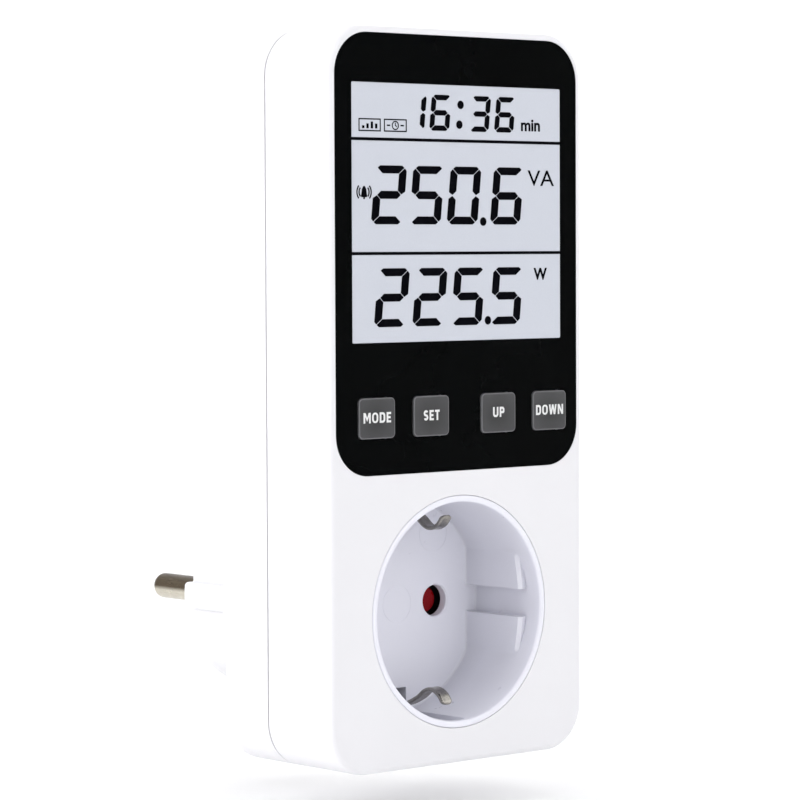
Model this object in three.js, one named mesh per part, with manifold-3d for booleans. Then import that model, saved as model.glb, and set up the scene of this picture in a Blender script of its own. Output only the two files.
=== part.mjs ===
// Plug-in power meter: a slim housing with a display panel and an earthed socket on the front and the
// matching plug on the back. Millimetres, +Z up. The origin is the middle of the plug's end face, between
// the two pins. The front faces -Y, and +X is to the right of someone reading the display.
import * as THREE from 'three';
import { mergeVertices } from 'three/addons/utils/BufferGeometryUtils.js';
import Module from 'manifold-3d';

const wasm = await Module();
wasm.setup();

// ---- driving dimensions ----------------------------------------------------------------------------
// Depths run backwards from the front face: 0 is the front face and PLUG_FACE is the plug's end face.
const PLUG_FACE = 58;
const PIN_LENGTH = 19;
const PIN_RADIUS = 2.4;
const PIN_X = 9.5;
const SNUG = 0.1;
const CLEAR = 0.3;

const BODY = { width: 61.2, bottom: -27.4, top: 104.5, corner: 8.5, wall: 2.2, parting: 17.5, back: 31 };
const FRONT_FILLET = 1.0;
const REAR_FILLET = 2.4;
const FRONT_WALL = 2.6;
const PLINTH = { radius: 24, back: 39.7, fillet: 1.6, wall: 2.2 };

const PANEL = { width: 58.6, bottom: 25.4, top: 103.4, corner: 7.5, thickness: 1.4 };
const GLASS = { width: 53.4, bottom: 47.1, top: 95.5, front: 1.7, back: 3.9 };
const BOARD = { width: 55.6, bottom: 26.6, top: 95.4, front: 8.4, back: 10 };
const POWER_BOARD = { width: 50, bottom: 29, top: 92, front: 24.4, back: 26 };

const KEY = { width: 8.4, height: 7.2, corner: 0.9, z: 35.6, proud: 0.25 };
const KEY_X = { mode: -19.9, set: -7.05, up: 9.3, down: 22.1 };

const WELL = { radius: 19.8, rim: 21, depth: 17.5, floor: 2.5, chord: 17.3, channel: 2.6, guideFront: 2.6 };
const WELL_POCKET = { radius: 13.2, depth: 0.7 };
const PIN_HOLE_RADIUS = 2.9;
const EARTH = { slot: 2.2, inner: 15.5, outer: 20.5, width: 2.6, thickness: 0.9 };
const BOSS = { radius: 18.45, chord: 16.3, rib: 2.5 };

const SCREW_X = 23.8;
const SCREW_Z = [-21.8, 98.9];

// ---- looks -----------------------------------------------------------------------------------------
const finish = (color, roughness, metalness = 0) => ({ color, roughness, metalness });
const WHITE = finish(0xeeeff2, 0.42);
const INSERT_WHITE = finish(0xe9e8ee, 0.35);
const BLACK_GLOSS = finish(0x0a0b0c, 0.12);
const KEY_GREY = finish(0x4b4b4e, 0.45);
const LCD_GREY = finish(0xd6d6e0, 0.2);
const NICKEL = finish(0xb9b2a3, 0.25, 1);
const BRASS = finish(0xc7a45a, 0.35, 1);
const COPPER = finish(0xb87348, 0.35, 1);
const STEEL = finish(0x9a9da1, 0.35, 1);
const RED = finish(0x96000a, 0.35);
const GREEN = finish(0x1f5c37, 0.5);
const BLACK_PART = finish(0x1c1c1e, 0.5);
const BLUE = finish(0x2a4f9a, 0.5);
const YELLOW = finish(0xd9b23a, 0.5);

// ---- solids ----------------------------------------------------------------------------------------
function solid(geometry) {
  const plain = geometry.clone();
  plain.deleteAttribute('normal');
  plain.deleteAttribute('uv');
  const merged = mergeVertices(plain, 1e-4);
  return new wasm.Manifold(new wasm.Mesh({
    numProp: 3,
    vertProperties: new Float32Array(merged.attributes.position.array),
    triVerts: new Uint32Array(merged.index.array),
  }));
}

function join(...solids) {
  return solids.reduce((sum, next) => sum.add(next));
}

function cut(base, ...tools) {
  return tools.reduce((rest, tool) => rest.subtract(tool), base);
}

function geometryOf(shape) {
  if (shape.isBufferGeometry) return shape;
  const mesh = shape.getMesh();
  const geometry = new THREE.BufferGeometry();
  geometry.setAttribute('position', new THREE.BufferAttribute(mesh.vertProperties, 3));
  geometry.setIndex(new THREE.BufferAttribute(mesh.triVerts, 1));
  geometry.computeVertexNormals();
  return geometry;
}

const meter = new THREE.Group();

function place(name, shape, look, parent = meter) {
  const mesh = new THREE.Mesh(geometryOf(shape), new THREE.MeshStandardMaterial(look));
  mesh.name = name;
  parent.add(mesh);
  return mesh;
}

// ---- shapes in the meter's own frame ---------------------------------------------------------------
const depthToY = (depth) => depth - PLUG_FACE;

// A height range above the socket's axis, or its mirror image below it, lowest end first.
const heightRange = (sign, inner, outer) => (sign > 0 ? [inner, outer] : [-outer, -inner]);

function roundedRect(width, bottom, top, corner, x = 0) {
  const left = x - width / 2;
  const right = x + width / 2;
  const shape = new THREE.Shape();
  shape.moveTo(left + corner, bottom);
  shape.lineTo(right - corner, bottom);
  shape.absarc(right - corner, bottom + corner, corner, -Math.PI / 2, 0);
  shape.lineTo(right, top - corner);
  shape.absarc(right - corner, top - corner, corner, 0, Math.PI / 2);
  shape.lineTo(left + corner, top);
  shape.absarc(left + corner, top - corner, corner, Math.PI / 2, Math.PI);
  shape.lineTo(left, bottom + corner);
  shape.absarc(left + corner, bottom + corner, corner, Math.PI, 1.5 * Math.PI);
  return shape;
}

// An XZ outline pushed from one depth to another; a fillet rounds both ends inside that length.
function slab(shape, front, back, { fillet = 0, segments = 4 } = {}) {
  const geometry = new THREE.ExtrudeGeometry(shape, {
    depth: back - front - 2 * fillet,
    curveSegments: segments,
    bevelEnabled: fillet > 0,
    bevelThickness: fillet,
    bevelSize: fillet,
    bevelOffset: -fillet,
    bevelSegments: 2,
  });
  geometry.rotateX(Math.PI / 2);
  geometry.translate(0, depthToY(back - fillet), 0);
  return solid(geometry);
}

function block(x0, x1, front, back, z0, z1) {
  const geometry = new THREE.BoxGeometry(x1 - x0, back - front, z1 - z0);
  geometry.translate((x0 + x1) / 2, depthToY((front + back) / 2), (z0 + z1) / 2);
  return solid(geometry);
}

// A round bar along the depth axis.
function bar(radius, front, back, x = 0, z = 0, segments = 24) {
  const geometry = new THREE.CylinderGeometry(radius, radius, back - front, segments);
  geometry.translate(x, depthToY((front + back) / 2), z);
  return solid(geometry);
}

// A turned piece about the depth axis, from [radius, depth] points that start and end on the axis.
function turned(points, x = 0, z = 0, segments = 24) {
  const profile = points.map(([radius, depth]) => new THREE.Vector2(radius, depthToY(depth)));
  const geometry = new THREE.LatheGeometry(profile, segments);
  geometry.translate(x, 0, z);
  return solid(geometry);
}

// A flat strip bent in the depth-height plane: its centre line is [depth, z] points.
function strip(points, thickness, width, x = 0) {
  const centre = points.map(([depth, z]) => new THREE.Vector2(depthToY(depth), z));
  const side = (sign) => centre.map((point, i) => {
    const before = centre[Math.max(i - 1, 0)];
    const after = centre[Math.min(i + 1, centre.length - 1)];
    const along = after.clone().sub(before).normalize();
    const offset = sign * thickness / 2;
    return new THREE.Vector2(point.x - offset * along.y, point.y + offset * along.x);
  });
  const outline = new THREE.Shape([...side(1), ...side(-1).reverse()]);
  const geometry = new THREE.ExtrudeGeometry(outline, { depth: width, bevelEnabled: false });
  geometry.translate(0, 0, -width / 2);
  geometry.applyMatrix4(new THREE.Matrix4().makeBasis(
    new THREE.Vector3(0, 1, 0), new THREE.Vector3(0, 0, 1), new THREE.Vector3(1, 0, 0)));
  geometry.translate(x, 0, 0);
  return solid(geometry);
}

// A smooth curve through a few [depth, z] points.
function smooth(points, steps) {
  const curve = new THREE.CatmullRomCurve3(points.map(([depth, z]) => new THREE.Vector3(depth, z, 0)));
  return curve.getPoints(steps).map((point) => [point.x, point.y]);
}

const bodyOutline = (inset) => roundedRect(
  BODY.width - 2 * inset, BODY.bottom + inset, BODY.top - inset, BODY.corner - inset);

const screwPlaces = SCREW_Z.flatMap((z) => [[-SCREW_X, z], [SCREW_X, z]]);

// ---- housing ---------------------------------------------------------------------------------------
const DISPLAY_POSTS = [[-24.9, 28.5], [24.9, 28.5], [1.1, 43.6]];
const POST_RADIUS = 2;
const KEY_FLANGE = { margin: 0.9, front: 2.9, back: 3.8 };

function frontHousing() {
  const shell = slab(bodyOutline(0), 0, 2 * BODY.parting, { fillet: FRONT_FILLET });
  const hollow = slab(bodyOutline(BODY.wall), FRONT_WALL, 3 * BODY.parting);
  const beyondSeam = block(-50, 50, BODY.parting - CLEAR / 2, 3 * BODY.parting, -50, 150);
  const posts = [
    ...screwPlaces.map(([x, z]) => bar(3, FRONT_WALL - SNUG, BODY.parting - CLEAR / 2, x, z, 16)),
    ...DISPLAY_POSTS.map(([x, z]) => bar(POST_RADIUS, FRONT_WALL - SNUG, BOARD.front - SNUG, x, z, 12)),
  ];
  const pilots = [
    ...screwPlaces.map(([x, z]) => bar(1.6, 6.6, 30, x, z, 12)),
    ...DISPLAY_POSTS.map(([x, z]) => bar(1.1, 3.4, 30, x, z, 12)),
  ];
  const panelRecess = slab(
    roundedRect(PANEL.width, PANEL.bottom, PANEL.top, PANEL.corner), -1, PANEL.thickness + SNUG);
  const glassPocket = block(
    -GLASS.width / 2 - SNUG, GLASS.width / 2 + SNUG, 0, 6, GLASS.bottom - SNUG, GLASS.top + SNUG);
  const keyHoles = Object.values(KEY_X).map((x) => keySlab(x, CLEAR, 0, 6));
  const socketHole = bar(WELL.rim + SNUG, -1, 6, 0, 0, 48);
  return cut(
    join(cut(shell, hollow, beyondSeam), ...posts),
    ...pilots, panelRecess, glassPocket, ...keyHoles, socketHole);
}

const HEAD_SEAT = 22.2;

function rearHousing() {
  const shell = slab(bodyOutline(0), 0, BODY.back, { fillet: REAR_FILLET });
  const hollow = slab(bodyOutline(BODY.wall), 0, BODY.back - BODY.wall);
  const aheadOfSeam = block(-50, 50, -10, BODY.parting + CLEAR / 2, -50, 150);
  const plinth = turned([
    [0, BODY.back - 1], [PLINTH.radius, BODY.back - 1], [PLINTH.radius, PLINTH.back - PLINTH.fillet],
    [PLINTH.radius - 0.3 * PLINTH.fillet, PLINTH.back - 0.3 * PLINTH.fillet],
    [PLINTH.radius - PLINTH.fillet, PLINTH.back], [0, PLINTH.back],
  ], 0, 0, 48);
  const plinthHollow = bar(PLINTH.radius - PLINTH.wall, 20, PLINTH.back - PLINTH.wall, 0, 0, 48);
  const bossHole = bar(BOSS.radius + CLEAR, 20, 60, 0, 0, 48);
  const towers = screwPlaces.map(([x, z]) => bar(4, BODY.parting + CLEAR / 2, BODY.back - 1, x, z, 20));
  const headBores = screwPlaces.map(([x, z]) => bar(2.9, HEAD_SEAT, 40, x, z, 20));
  const shankHoles = screwPlaces.map(([x, z]) => bar(1.7, 10, 40, x, z, 12));
  const powerPosts = POWER_POSTS.map(([x, z]) => bar(2.2, POWER_BOARD.back + SNUG, BODY.back - 1, x, z, 12));
  const powerPilots = POWER_POSTS.map(([x, z]) => bar(1.1, 20, BODY.back - 1.4, x, z, 12));
  return cut(
    join(cut(join(shell, plinth), hollow, aheadOfSeam), ...towers, ...powerPosts),
    plinthHollow, bossHole, ...headBores, ...shankHoles, ...powerPilots);
}

// ---- display ---------------------------------------------------------------------------------------
function keySlab(x, margin, front, back) {
  const outline = roundedRect(
    KEY.width + 2 * margin, KEY.z - KEY.height / 2 - margin, KEY.z + KEY.height / 2 + margin, KEY.corner, x);
  return slab(outline, front, back, { segments: 2 });
}

function displayLens() {
  const sheet = slab(
    roundedRect(PANEL.width - 2 * SNUG, PANEL.bottom + SNUG, PANEL.top - SNUG, PANEL.corner - SNUG),
    0, PANEL.thickness);
  return cut(sheet, ...Object.values(KEY_X).map((x) => keySlab(x, 0.15, -1, 3)));
}

const DISPLAY_STACK = { front: GLASS.back + CLEAR, back: BOARD.front - CLEAR };
const BRACKET = { half: 26.9, bottom: 46.2, top: 95.4, wall: 0.9 };
const BACKLIGHT = { half: 25.7, top: 94.2, thickness: 3.4 };
const CONNECTOR = { half: 25.2, bottom: 47.4, top: 49 };

function lcdBracket() {
  const { front, back } = DISPLAY_STACK;
  const { half, bottom, top, wall } = BRACKET;
  const outer = block(-half, half, front, back, bottom, top);
  return cut(outer, block(wall - half, half - wall, front - 1, back + 1, bottom + wall, top - wall));
}

function addDisplay() {
  const { front, back } = DISPLAY_STACK;
  const glass = block(
    -GLASS.width / 2, GLASS.width / 2, GLASS.front, GLASS.back, GLASS.bottom, GLASS.top);
  const backlight = block(
    -BACKLIGHT.half, BACKLIGHT.half, front, front + BACKLIGHT.thickness,
    CONNECTOR.top + CLEAR, BACKLIGHT.top);
  const connector = block(-CONNECTOR.half, CONNECTOR.half, front, back, CONNECTOR.bottom, CONNECTOR.top);
  place('display_lens', displayLens(), BLACK_GLOSS);
  place('lcd_glass', glass, LCD_GREY);
  place('lcd_backlight', backlight, WHITE);
  place('lcd_connector', connector, BLACK_PART);
  place('lcd_bracket', lcdBracket(), INSERT_WHITE);
}

function displayBoard() {
  const board = block(
    -BOARD.width / 2, BOARD.width / 2, BOARD.front, BOARD.back, BOARD.bottom, BOARD.top);
  return cut(board, ...DISPLAY_POSTS.map(([x, z]) => bar(1.4, 0, 20, x, z, 12)));
}

// ---- keys ------------------------------------------------------------------------------------------
const SWITCH = { size: 6, front: 4.9, back: BOARD.front - SNUG, bore: 6.6 };
const PLUNGER = { radius: 1.7, front: 4.1, back: 6 };

function keyCap(x) {
  const cap = slab(
    roundedRect(KEY.width, KEY.z - KEY.height / 2, KEY.z + KEY.height / 2, KEY.corner, x),
    -KEY.proud, KEY_FLANGE.front + SNUG, { segments: 2 });
  return join(cap, keySlab(x, KEY_FLANGE.margin, KEY_FLANGE.front, KEY_FLANGE.back));
}

function switchBody(x) {
  const half = SWITCH.size / 2;
  const body = block(x - half, x + half, SWITCH.front, SWITCH.back, KEY.z - half, KEY.z + half);
  return cut(body, bar(PLUNGER.radius + CLEAR, 0, SWITCH.bore, x, KEY.z, 20));
}

function addKeys() {
  for (const [name, x] of Object.entries(KEY_X)) {
    place(`button_${name}`, keyCap(x), KEY_GREY);
    place(`plunger_${name}`, bar(PLUNGER.radius, PLUNGER.front, PLUNGER.back, x, KEY.z, 20), BLACK_PART);
    place(`switch_${name}`, switchBody(x), BLACK_PART);
  }
}

// ---- socket ----------------------------------------------------------------------------------------
const SHUTTER = { front: 20.3, back: 22.1, lobe: 2.4, arm: 1.7, hub: 4.4, bore: 1.9 };
const SPRING = { radius: 3, wire: 0.2, turns: 2.5, front: 22.9, rise: 1.3 };
const CARRIER = { front: 22.5, back: 25, radius: 18.6, tubeBack: 38, tubeOuter: 5.4, tubeInner: 4.4 };
const INSERT_LUGS = [[-7, 14], [7, -14]];

function earthSlot(sign, front, back, outer = EARTH.outer) {
  const [low, high] = heightRange(sign, EARTH.inner, outer);
  return block(-EARTH.slot, EARTH.slot, front, back, low, high);
}

function wallGroove(sign) {
  const [low, high] = heightRange(sign, WELL.radius - 1.5, EARTH.outer);
  return block(-EARTH.slot, EARTH.slot, 1.2, WELL.depth + 1, low, high);
}

function grooveRib(sign) {
  const [low, high] = heightRange(sign, WELL.radius, 22);
  return block(-EARTH.slot - 1.2, EARTH.slot + 1.2, 2.9, WELL.depth + WELL.floor, low, high);
}

function wellGuides() {
  const ring = bar(WELL.radius + 0.5, WELL.guideFront, WELL.depth + 0.5, 0, 0, 48);
  const middle = block(-WELL.chord, WELL.chord, 0, 20, -30, 30);
  const channel = block(-30, 30, 0, 20, -WELL.channel, WELL.channel);
  return cut(ring, middle, channel);
}

function socketInsert() {
  const floorBack = WELL.depth + WELL.floor;
  const cup = join(
    bar(WELL.rim, 0, floorBack, 0, 0, 48), bar(22.8, 2.9, 4.4, 0, 0, 48), grooveRib(1), grooveRib(-1));
  const hollow = bar(WELL.radius, -1, WELL.depth, 0, 0, 48);
  const lugs = INSERT_LUGS.map(([x, z]) => bar(2, floorBack - SNUG, CARRIER.front - SNUG, x, z, 12));
  const pinHoles = [-PIN_X, PIN_X].map((x) => bar(PIN_HOLE_RADIUS, 10, 30, x, 0, 28));
  const lugPilots = INSERT_LUGS.map(([x, z]) => bar(1, floorBack - 1, 30, x, z, 12));
  const pocket = bar(WELL_POCKET.radius, floorBack - WELL_POCKET.depth, 30, 0, 0, 48);
  return cut(
    join(cut(cup, hollow), wellGuides(), ...lugs),
    pocket, ...pinHoles, ...lugPilots,
    earthSlot(1, 16, 30), earthSlot(-1, 16, 30), wallGroove(1), wallGroove(-1));
}

function shutter() {
  const { front, back, lobe, arm, hub, bore } = SHUTTER;
  const bridge = block(-PIN_X, PIN_X, front, back, -arm, arm);
  const lobes = [-PIN_X, PIN_X].map((x) => bar(lobe, front, back, x, 0, 28));
  return cut(join(bridge, ...lobes, bar(hub, front, back, 0, 0, 28)), bar(bore, front - 1, back + 1));
}

// A light torsion spring lying flat behind the shutter, round the hub pin.
function shutterSpring() {
  const { radius, wire, turns, front, rise } = SPRING;
  const helix = new (class extends THREE.Curve {
    getPoint(t) {
      const angle = turns * 2 * Math.PI * t;
      const depth = front + rise * t;
      return new THREE.Vector3(radius * Math.cos(angle), depthToY(depth), radius * Math.sin(angle));
    }
  })();
  const section = new THREE.Shape();
  section.absarc(0, 0, wire, 0, 2 * Math.PI);
  return new THREE.ExtrudeGeometry(section, {
    steps: 32, curveSegments: 3, extrudePath: helix, bevelEnabled: false });
}

function contactCarrier() {
  const { front, back, radius, tubeBack, tubeOuter, tubeInner } = CARRIER;
  const tubes = [-PIN_X, PIN_X].map((x) => bar(tubeOuter, back - 1, tubeBack, x, 0, 28));
  const hubPin = bar(1.6, SHUTTER.front - 0.1, back, 0, 0, 20);
  const springWell = bar(4, front - 1, 24.5, 0, 0, 24);
  const tubeBores = [-PIN_X, PIN_X].map((x) => bar(tubeInner, back - 0.2, tubeBack + 1, x, 0, 28));
  const pinPassages = [-PIN_X, PIN_X].map((x) => bar(PIN_HOLE_RADIUS, front - 1, tubeBack, x, 0, 28));
  const clipSlots = [1, -1].map((sign) => earthSlot(sign, front - 1, back + 1, 22));
  const screwHoles = INSERT_LUGS.map(([x, z]) => bar(1.3, front - 1, back + 1, x, z, 12));
  const plate = bar(radius, front, back, 0, 0, 48);
  return cut(join(cut(join(plate, ...tubes), springWell), hubPin),
    ...tubeBores, ...pinPassages, ...clipSlots, ...screwHoles);
}

// A rolled brass sleeve with a slit, so that it grips a plug pin.
function pinContact(x, tailEnd) {
  const opening = 0.35;
  const ring = new THREE.Shape();
  ring.absarc(0, 0, 3.9, opening, 2 * Math.PI - opening);
  ring.absarc(0, 0, 2.9, 2 * Math.PI - opening, opening, true);
  const sleeve = new THREE.ExtrudeGeometry(ring, { depth: 12, curveSegments: 9, bevelEnabled: false });
  sleeve.rotateX(Math.PI / 2);
  sleeve.translate(x, depthToY(37.4), 0);
  const tail = block(x - 1.5, x + 1.5, 36.4, tailEnd, 3.0, 3.8);
  return join(solid(sleeve), tail);
}

// The sprung strip that leaves its slot in the floor, comes forward and touches a plug's side contact.
const CLIP_LINE = [
  [25, 17.7], [20.5, 17.7], [17, 18.3], [14.2, 18], [11, 16.6],
  [8.8, 15.1], [7, 14.7], [5.2, 15.4], [3.6, 17.2],
];

function earthClip(sign) {
  const line = smooth(CLIP_LINE, 18).map(([depth, z]) => [depth, sign * z]);
  return strip(line, EARTH.thickness, EARTH.width);
}

function addSocket() {
  place('socket_insert', socketInsert(), INSERT_WHITE);
  place('shutter', shutter(), RED);
  place('shutter_spring', shutterSpring(), STEEL);
  place('contact_carrier', contactCarrier(), BLACK_PART);
  place('line_contact', pinContact(-PIN_X, 41.5), BRASS);
  place('neutral_contact', pinContact(PIN_X, FEED.foot - SNUG), BRASS);
  place('earth_clip_top', earthClip(1), NICKEL);
  place('earth_clip_bottom', earthClip(-1), NICKEL);
}

// ---- plug ------------------------------------------------------------------------------------------
const PLUG = { flange: 21.4, flangeFront: 35, flangeBack: 37.2, wall: 2.6, endWall: 3.4 };
const PLUG_CLIP = { half: 2.9, depth: 2.4, floor: 16.65, front: 34.2, back: 55.2, crest: 17.7, thickness: 1 };

function plugBody() {
  const boss = turned([
    [0, PLUG.flangeBack - 1], [BOSS.radius, PLUG.flangeBack - 1], [BOSS.radius, PLUG_FACE - 1],
    [BOSS.radius - 0.3, PLUG_FACE - 0.3], [BOSS.radius - 1, PLUG_FACE], [0, PLUG_FACE],
  ], 0, 0, 48);
  const flange = bar(PLUG.flange, PLUG.flangeFront, PLUG.flangeBack, 0, 0, 48);
  const hollow = bar(BOSS.chord - PLUG.wall, 30, PLUG_FACE - PLUG.endWall, 0, 0, 40);
  const mouth = bar(BOSS.radius - PLUG.wall, 30, 39, 0, 0, 40);
  const flats = [-1, 1].flatMap((sideX) => [-1, 1].map((sideZ) => block(
    Math.min(sideX * BOSS.chord, sideX * 30), Math.max(sideX * BOSS.chord, sideX * 30),
    PLINTH.back + 1.5, PLUG_FACE + 1,
    Math.min(sideZ * BOSS.rib, sideZ * 30), Math.max(sideZ * BOSS.rib, sideZ * 30))));
  const clipRecesses = [1, -1].map((sign) => {
    const [low, high] = heightRange(sign, BOSS.radius - PLUG_CLIP.depth, 30);
    return block(-PLUG_CLIP.half - CLEAR, PLUG_CLIP.half + CLEAR, 39.9, PLUG_FACE - 1.8, low, high);
  });
  const clipPassages = [1, -1].map((sign) => {
    const [low, high] = heightRange(sign, PLUG_CLIP.floor - 1.3, PLUG_CLIP.floor + 0.8);
    return block(-PLUG_CLIP.half - CLEAR, PLUG_CLIP.half + CLEAR, 30, 41, low, high);
  });
  const pinHoles = [-PIN_X, PIN_X].map((x) => bar(PIN_RADIUS + SNUG, 50, 60, x, 0, 24));
  return cut(join(boss, flange), hollow, mouth, ...flats, ...clipRecesses, ...clipPassages, ...pinHoles);
}

function pin(x) {
  const tip = PLUG_FACE + PIN_LENGTH;
  const inner = PLUG_FACE - PLUG.endWall - SNUG;
  return turned([
    [0, 46], [1.6, 46], [1.6, inner - 1.6], [3.4, inner - 1.6], [3.4, inner], [PIN_RADIUS, inner],
    [PIN_RADIUS, tip - 1.8], [0.86 * PIN_RADIUS, tip - 0.8], [0.5 * PIN_RADIUS, tip - 0.2], [0, tip],
  ], x, 0, 24);
}

function plugEarthClip(sign) {
  const { front, back, floor, crest, thickness, half } = PLUG_CLIP;
  const bends = [[front, floor], [41, floor], [44, floor + 0.2], [47.5, crest], [52, crest], [back, floor]];
  const line = smooth(bends, 16).map(([depth, z]) => [depth, sign * z]);
  return strip(line, thickness, 2 * half);
}

function addPlug() {
  place('plug_body', plugBody(), WHITE);
  place('line_pin', pin(-PIN_X), NICKEL);
  place('neutral_pin', pin(PIN_X), NICKEL);
  place('plug_earth_clip_top', plugEarthClip(1), NICKEL);
  place('plug_earth_clip_bottom', plugEarthClip(-1), NICKEL);
}

// ---- wiring ----------------------------------------------------------------------------------------
const FEED = { foot: 43.6, thickness: 1, half: 2, z: 5.8, rise: 27.2, top: 31 };
const EARTH_STRAP = { front: 25.3, back: 34, half: 1.6, inner: 16.2, outer: 17.1 };
const RETURN_WIRE = [
  [-6.8, 40.5, 3.6], [-4.4, 39, 4.4], [-3.4, 33, 7], [-3.4, 28.4, 13], [-3.4, 27.5, 21], [-3.4, 27.4, 32],
];

// A flat bar from a plug pin's tail, over its contact sleeve and up to the back of the power board.
function feedBar(x) {
  const { foot, thickness, half, z, rise, top } = FEED;
  const sole = block(x - half, x + half, foot, foot + thickness, -half, z + thickness);
  const run = block(x - half, x + half, rise, foot + thickness, z, z + thickness);
  const climb = block(x - half, x + half, rise, rise + thickness, z, top);
  const tab = block(x - half, x + half, POWER_BOARD.back + SNUG, rise + thickness, top - thickness, top);
  return cut(join(sole, run, climb, tab), bar(1.7, foot - 1, foot + 3, x, 0, 16));
}

// The metered line conductor, from the power board back to the line contact.
function returnWire() {
  const route = new THREE.CatmullRomCurve3(
    RETURN_WIRE.map(([x, depth, z]) => new THREE.Vector3(x, depthToY(depth), z)));
  const section = new THREE.Shape();
  section.absarc(0, 0, 1, 0, 2 * Math.PI);
  return new THREE.ExtrudeGeometry(section, {
    steps: 20, curveSegments: 4, extrudePath: route, bevelEnabled: false });
}

// The earth path: a strap behind the contact carrier, with an arm back to each of the plug's clips.
function earthStrap() {
  const { front, back, half, inner, outer } = EARTH_STRAP;
  const web = block(-half, half, front, front + 0.9, -outer, outer);
  const arms = [1, -1].map((sign) => {
    const [low, high] = heightRange(sign, inner, outer);
    return block(-half, half, front, back, low, high);
  });
  return join(web, ...arms);
}

function addWiring() {
  place('line_feed_bar', feedBar(-PIN_X), COPPER);
  place('neutral_feed_bar', feedBar(PIN_X), COPPER);
  place('line_return_wire', returnWire(), BLACK_PART);
  place('earth_strap', earthStrap(), NICKEL);
}

// ---- electronics -----------------------------------------------------------------------------------
const POWER_POSTS = [[-21, 33], [21, 88]];

function powerBoard() {
  const board = block(
    -POWER_BOARD.width / 2, POWER_BOARD.width / 2, POWER_BOARD.front, POWER_BOARD.back,
    POWER_BOARD.bottom, POWER_BOARD.top);
  return cut(board, ...POWER_POSTS.map(([x, z]) => bar(1.4, 20, 30, x, z, 12)));
}

// Square parts on each board, and how far each one stands off it.
const POWER_BLOCKS = {
  x2_capacitor: { look: YELLOW, x: -12, z: 52, width: 18, height: 10, rise: 8.5 },
  metering_chip: { look: BLACK_PART, x: 4, z: 72, width: 10, height: 7.5, rise: 2 },
  board_connector: { look: BLACK_PART, x: -20, z: 80, width: 2.5, height: 15, rise: 14.1 },
};
const DISPLAY_BLOCKS = {
  microcontroller: { look: BLACK_PART, x: -4, z: 66, width: 10, height: 10, rise: 1.5 },
  crystal: { look: STEEL, x: 8, z: 60, width: 8, height: 3.4, rise: 3.2 },
};
const FILTER_CAPACITOR = { x: 12, z: 86, radius: 5, rise: 11 };
const BACKUP_CELL = { x: 14, z: 45, radius: 5.8, rise: 5 };
const BUZZER = { x: -14, z: 40, radius: 6, rise: 5.5 };
const VARISTOR = { x: 18, z: 60, radius: 5, thickness: 4 };
const FUSE = { x: 6, z: 36, radius: 2, length: 14, lift: 0.4 };
const SHUNT = { left: -14, right: 2, bottom: 40.5, top: 43.5, rise: 3.6, thickness: 1.2 };

function standing(part, front, back) {
  const { x, z, width, height } = part;
  return block(x - width / 2, x + width / 2, front, back, z - height / 2, z + height / 2);
}

function addElectronics() {
  const powerFace = POWER_BOARD.front - SNUG;
  const displayFace = BOARD.back + SNUG;
  place('display_board', displayBoard(), GREEN);
  place('power_board', powerBoard(), GREEN);
  for (const [name, part] of Object.entries(POWER_BLOCKS)) {
    place(name, standing(part, powerFace - part.rise, powerFace), part.look);
  }
  for (const [name, part] of Object.entries(DISPLAY_BLOCKS)) {
    place(name, standing(part, displayFace, displayFace + part.rise), part.look);
  }
  place('filter_capacitor', roundPart(FILTER_CAPACITOR, powerFace - FILTER_CAPACITOR.rise, powerFace), BLUE);
  place('backup_cell', roundPart(BACKUP_CELL, displayFace, displayFace + BACKUP_CELL.rise), STEEL);
  place('buzzer', roundPart(BUZZER, displayFace, displayFace + BUZZER.rise), BLACK_PART);
  place('varistor', lyingRound(VARISTOR.radius, VARISTOR.thickness, VARISTOR.x, powerFace - VARISTOR.radius,
    VARISTOR.z), BLUE);
  place('fuse', lyingRound(FUSE.radius, FUSE.length, FUSE.x, powerFace - FUSE.radius - FUSE.lift, FUSE.z),
    INSERT_WHITE);
  place('shunt', shunt(powerFace), COPPER);
}

function roundPart({ x, z, radius }, front, back) {
  return bar(radius, front, back, x, z, 28);
}

// A disc or tube that lies along X, with its middle at the given place.
function lyingRound(radius, length, x, depth, z) {
  const geometry = new THREE.CylinderGeometry(radius, radius, length, 24);
  geometry.rotateZ(Math.PI / 2);
  geometry.translate(x, depthToY(depth), z);
  return solid(geometry);
}

// A low-ohm bridge that carries the load current over the board.
function shunt(foot) {
  const { left, right, bottom, top, rise, thickness } = SHUNT;
  const deck = block(left, right, foot - rise, foot - rise + thickness, bottom, top);
  const legs = [left, right - thickness].map((x) => block(x, x + thickness, foot - rise, foot, bottom, top));
  return join(deck, ...legs);
}

// ---- fasteners -------------------------------------------------------------------------------------
// A pan-head screw driven from behind: its head's underside sits at the given depth.
function screw(x, z, seat, tip, radius, head) {
  const height = 0.7 * head;
  const body = turned([
    [0, tip], [0.5 * radius, tip], [radius, tip + radius], [radius, seat], [head, seat],
    [head, seat + 0.6 * height], [0.7 * head, seat + height], [0, seat + height],
  ], x, z, 12);
  const slotHalf = 0.14 * head;
  const slotTop = seat + height + 1;
  const slotFloor = seat + 0.5 * height;
  const across = block(x - 0.62 * head, x + 0.62 * head, slotFloor, slotTop, z - slotHalf, z + slotHalf);
  const upright = block(x - slotHalf, x + slotHalf, slotFloor, slotTop, z - 0.62 * head, z + 0.62 * head);
  return cut(body, across, upright);
}

// The same screw driven from the front, for the board that is fixed to the rear shell.
function screwFromFront(x, z, seat, tip, radius, head) {
  const height = 0.7 * head;
  return turned([
    [0, seat - height], [0.7 * head, seat - height], [head, seat - 0.6 * height], [head, seat],
    [radius, seat], [radius, tip - radius], [0.5 * radius, tip], [0, tip],
  ], x, z, 12);
}

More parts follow.
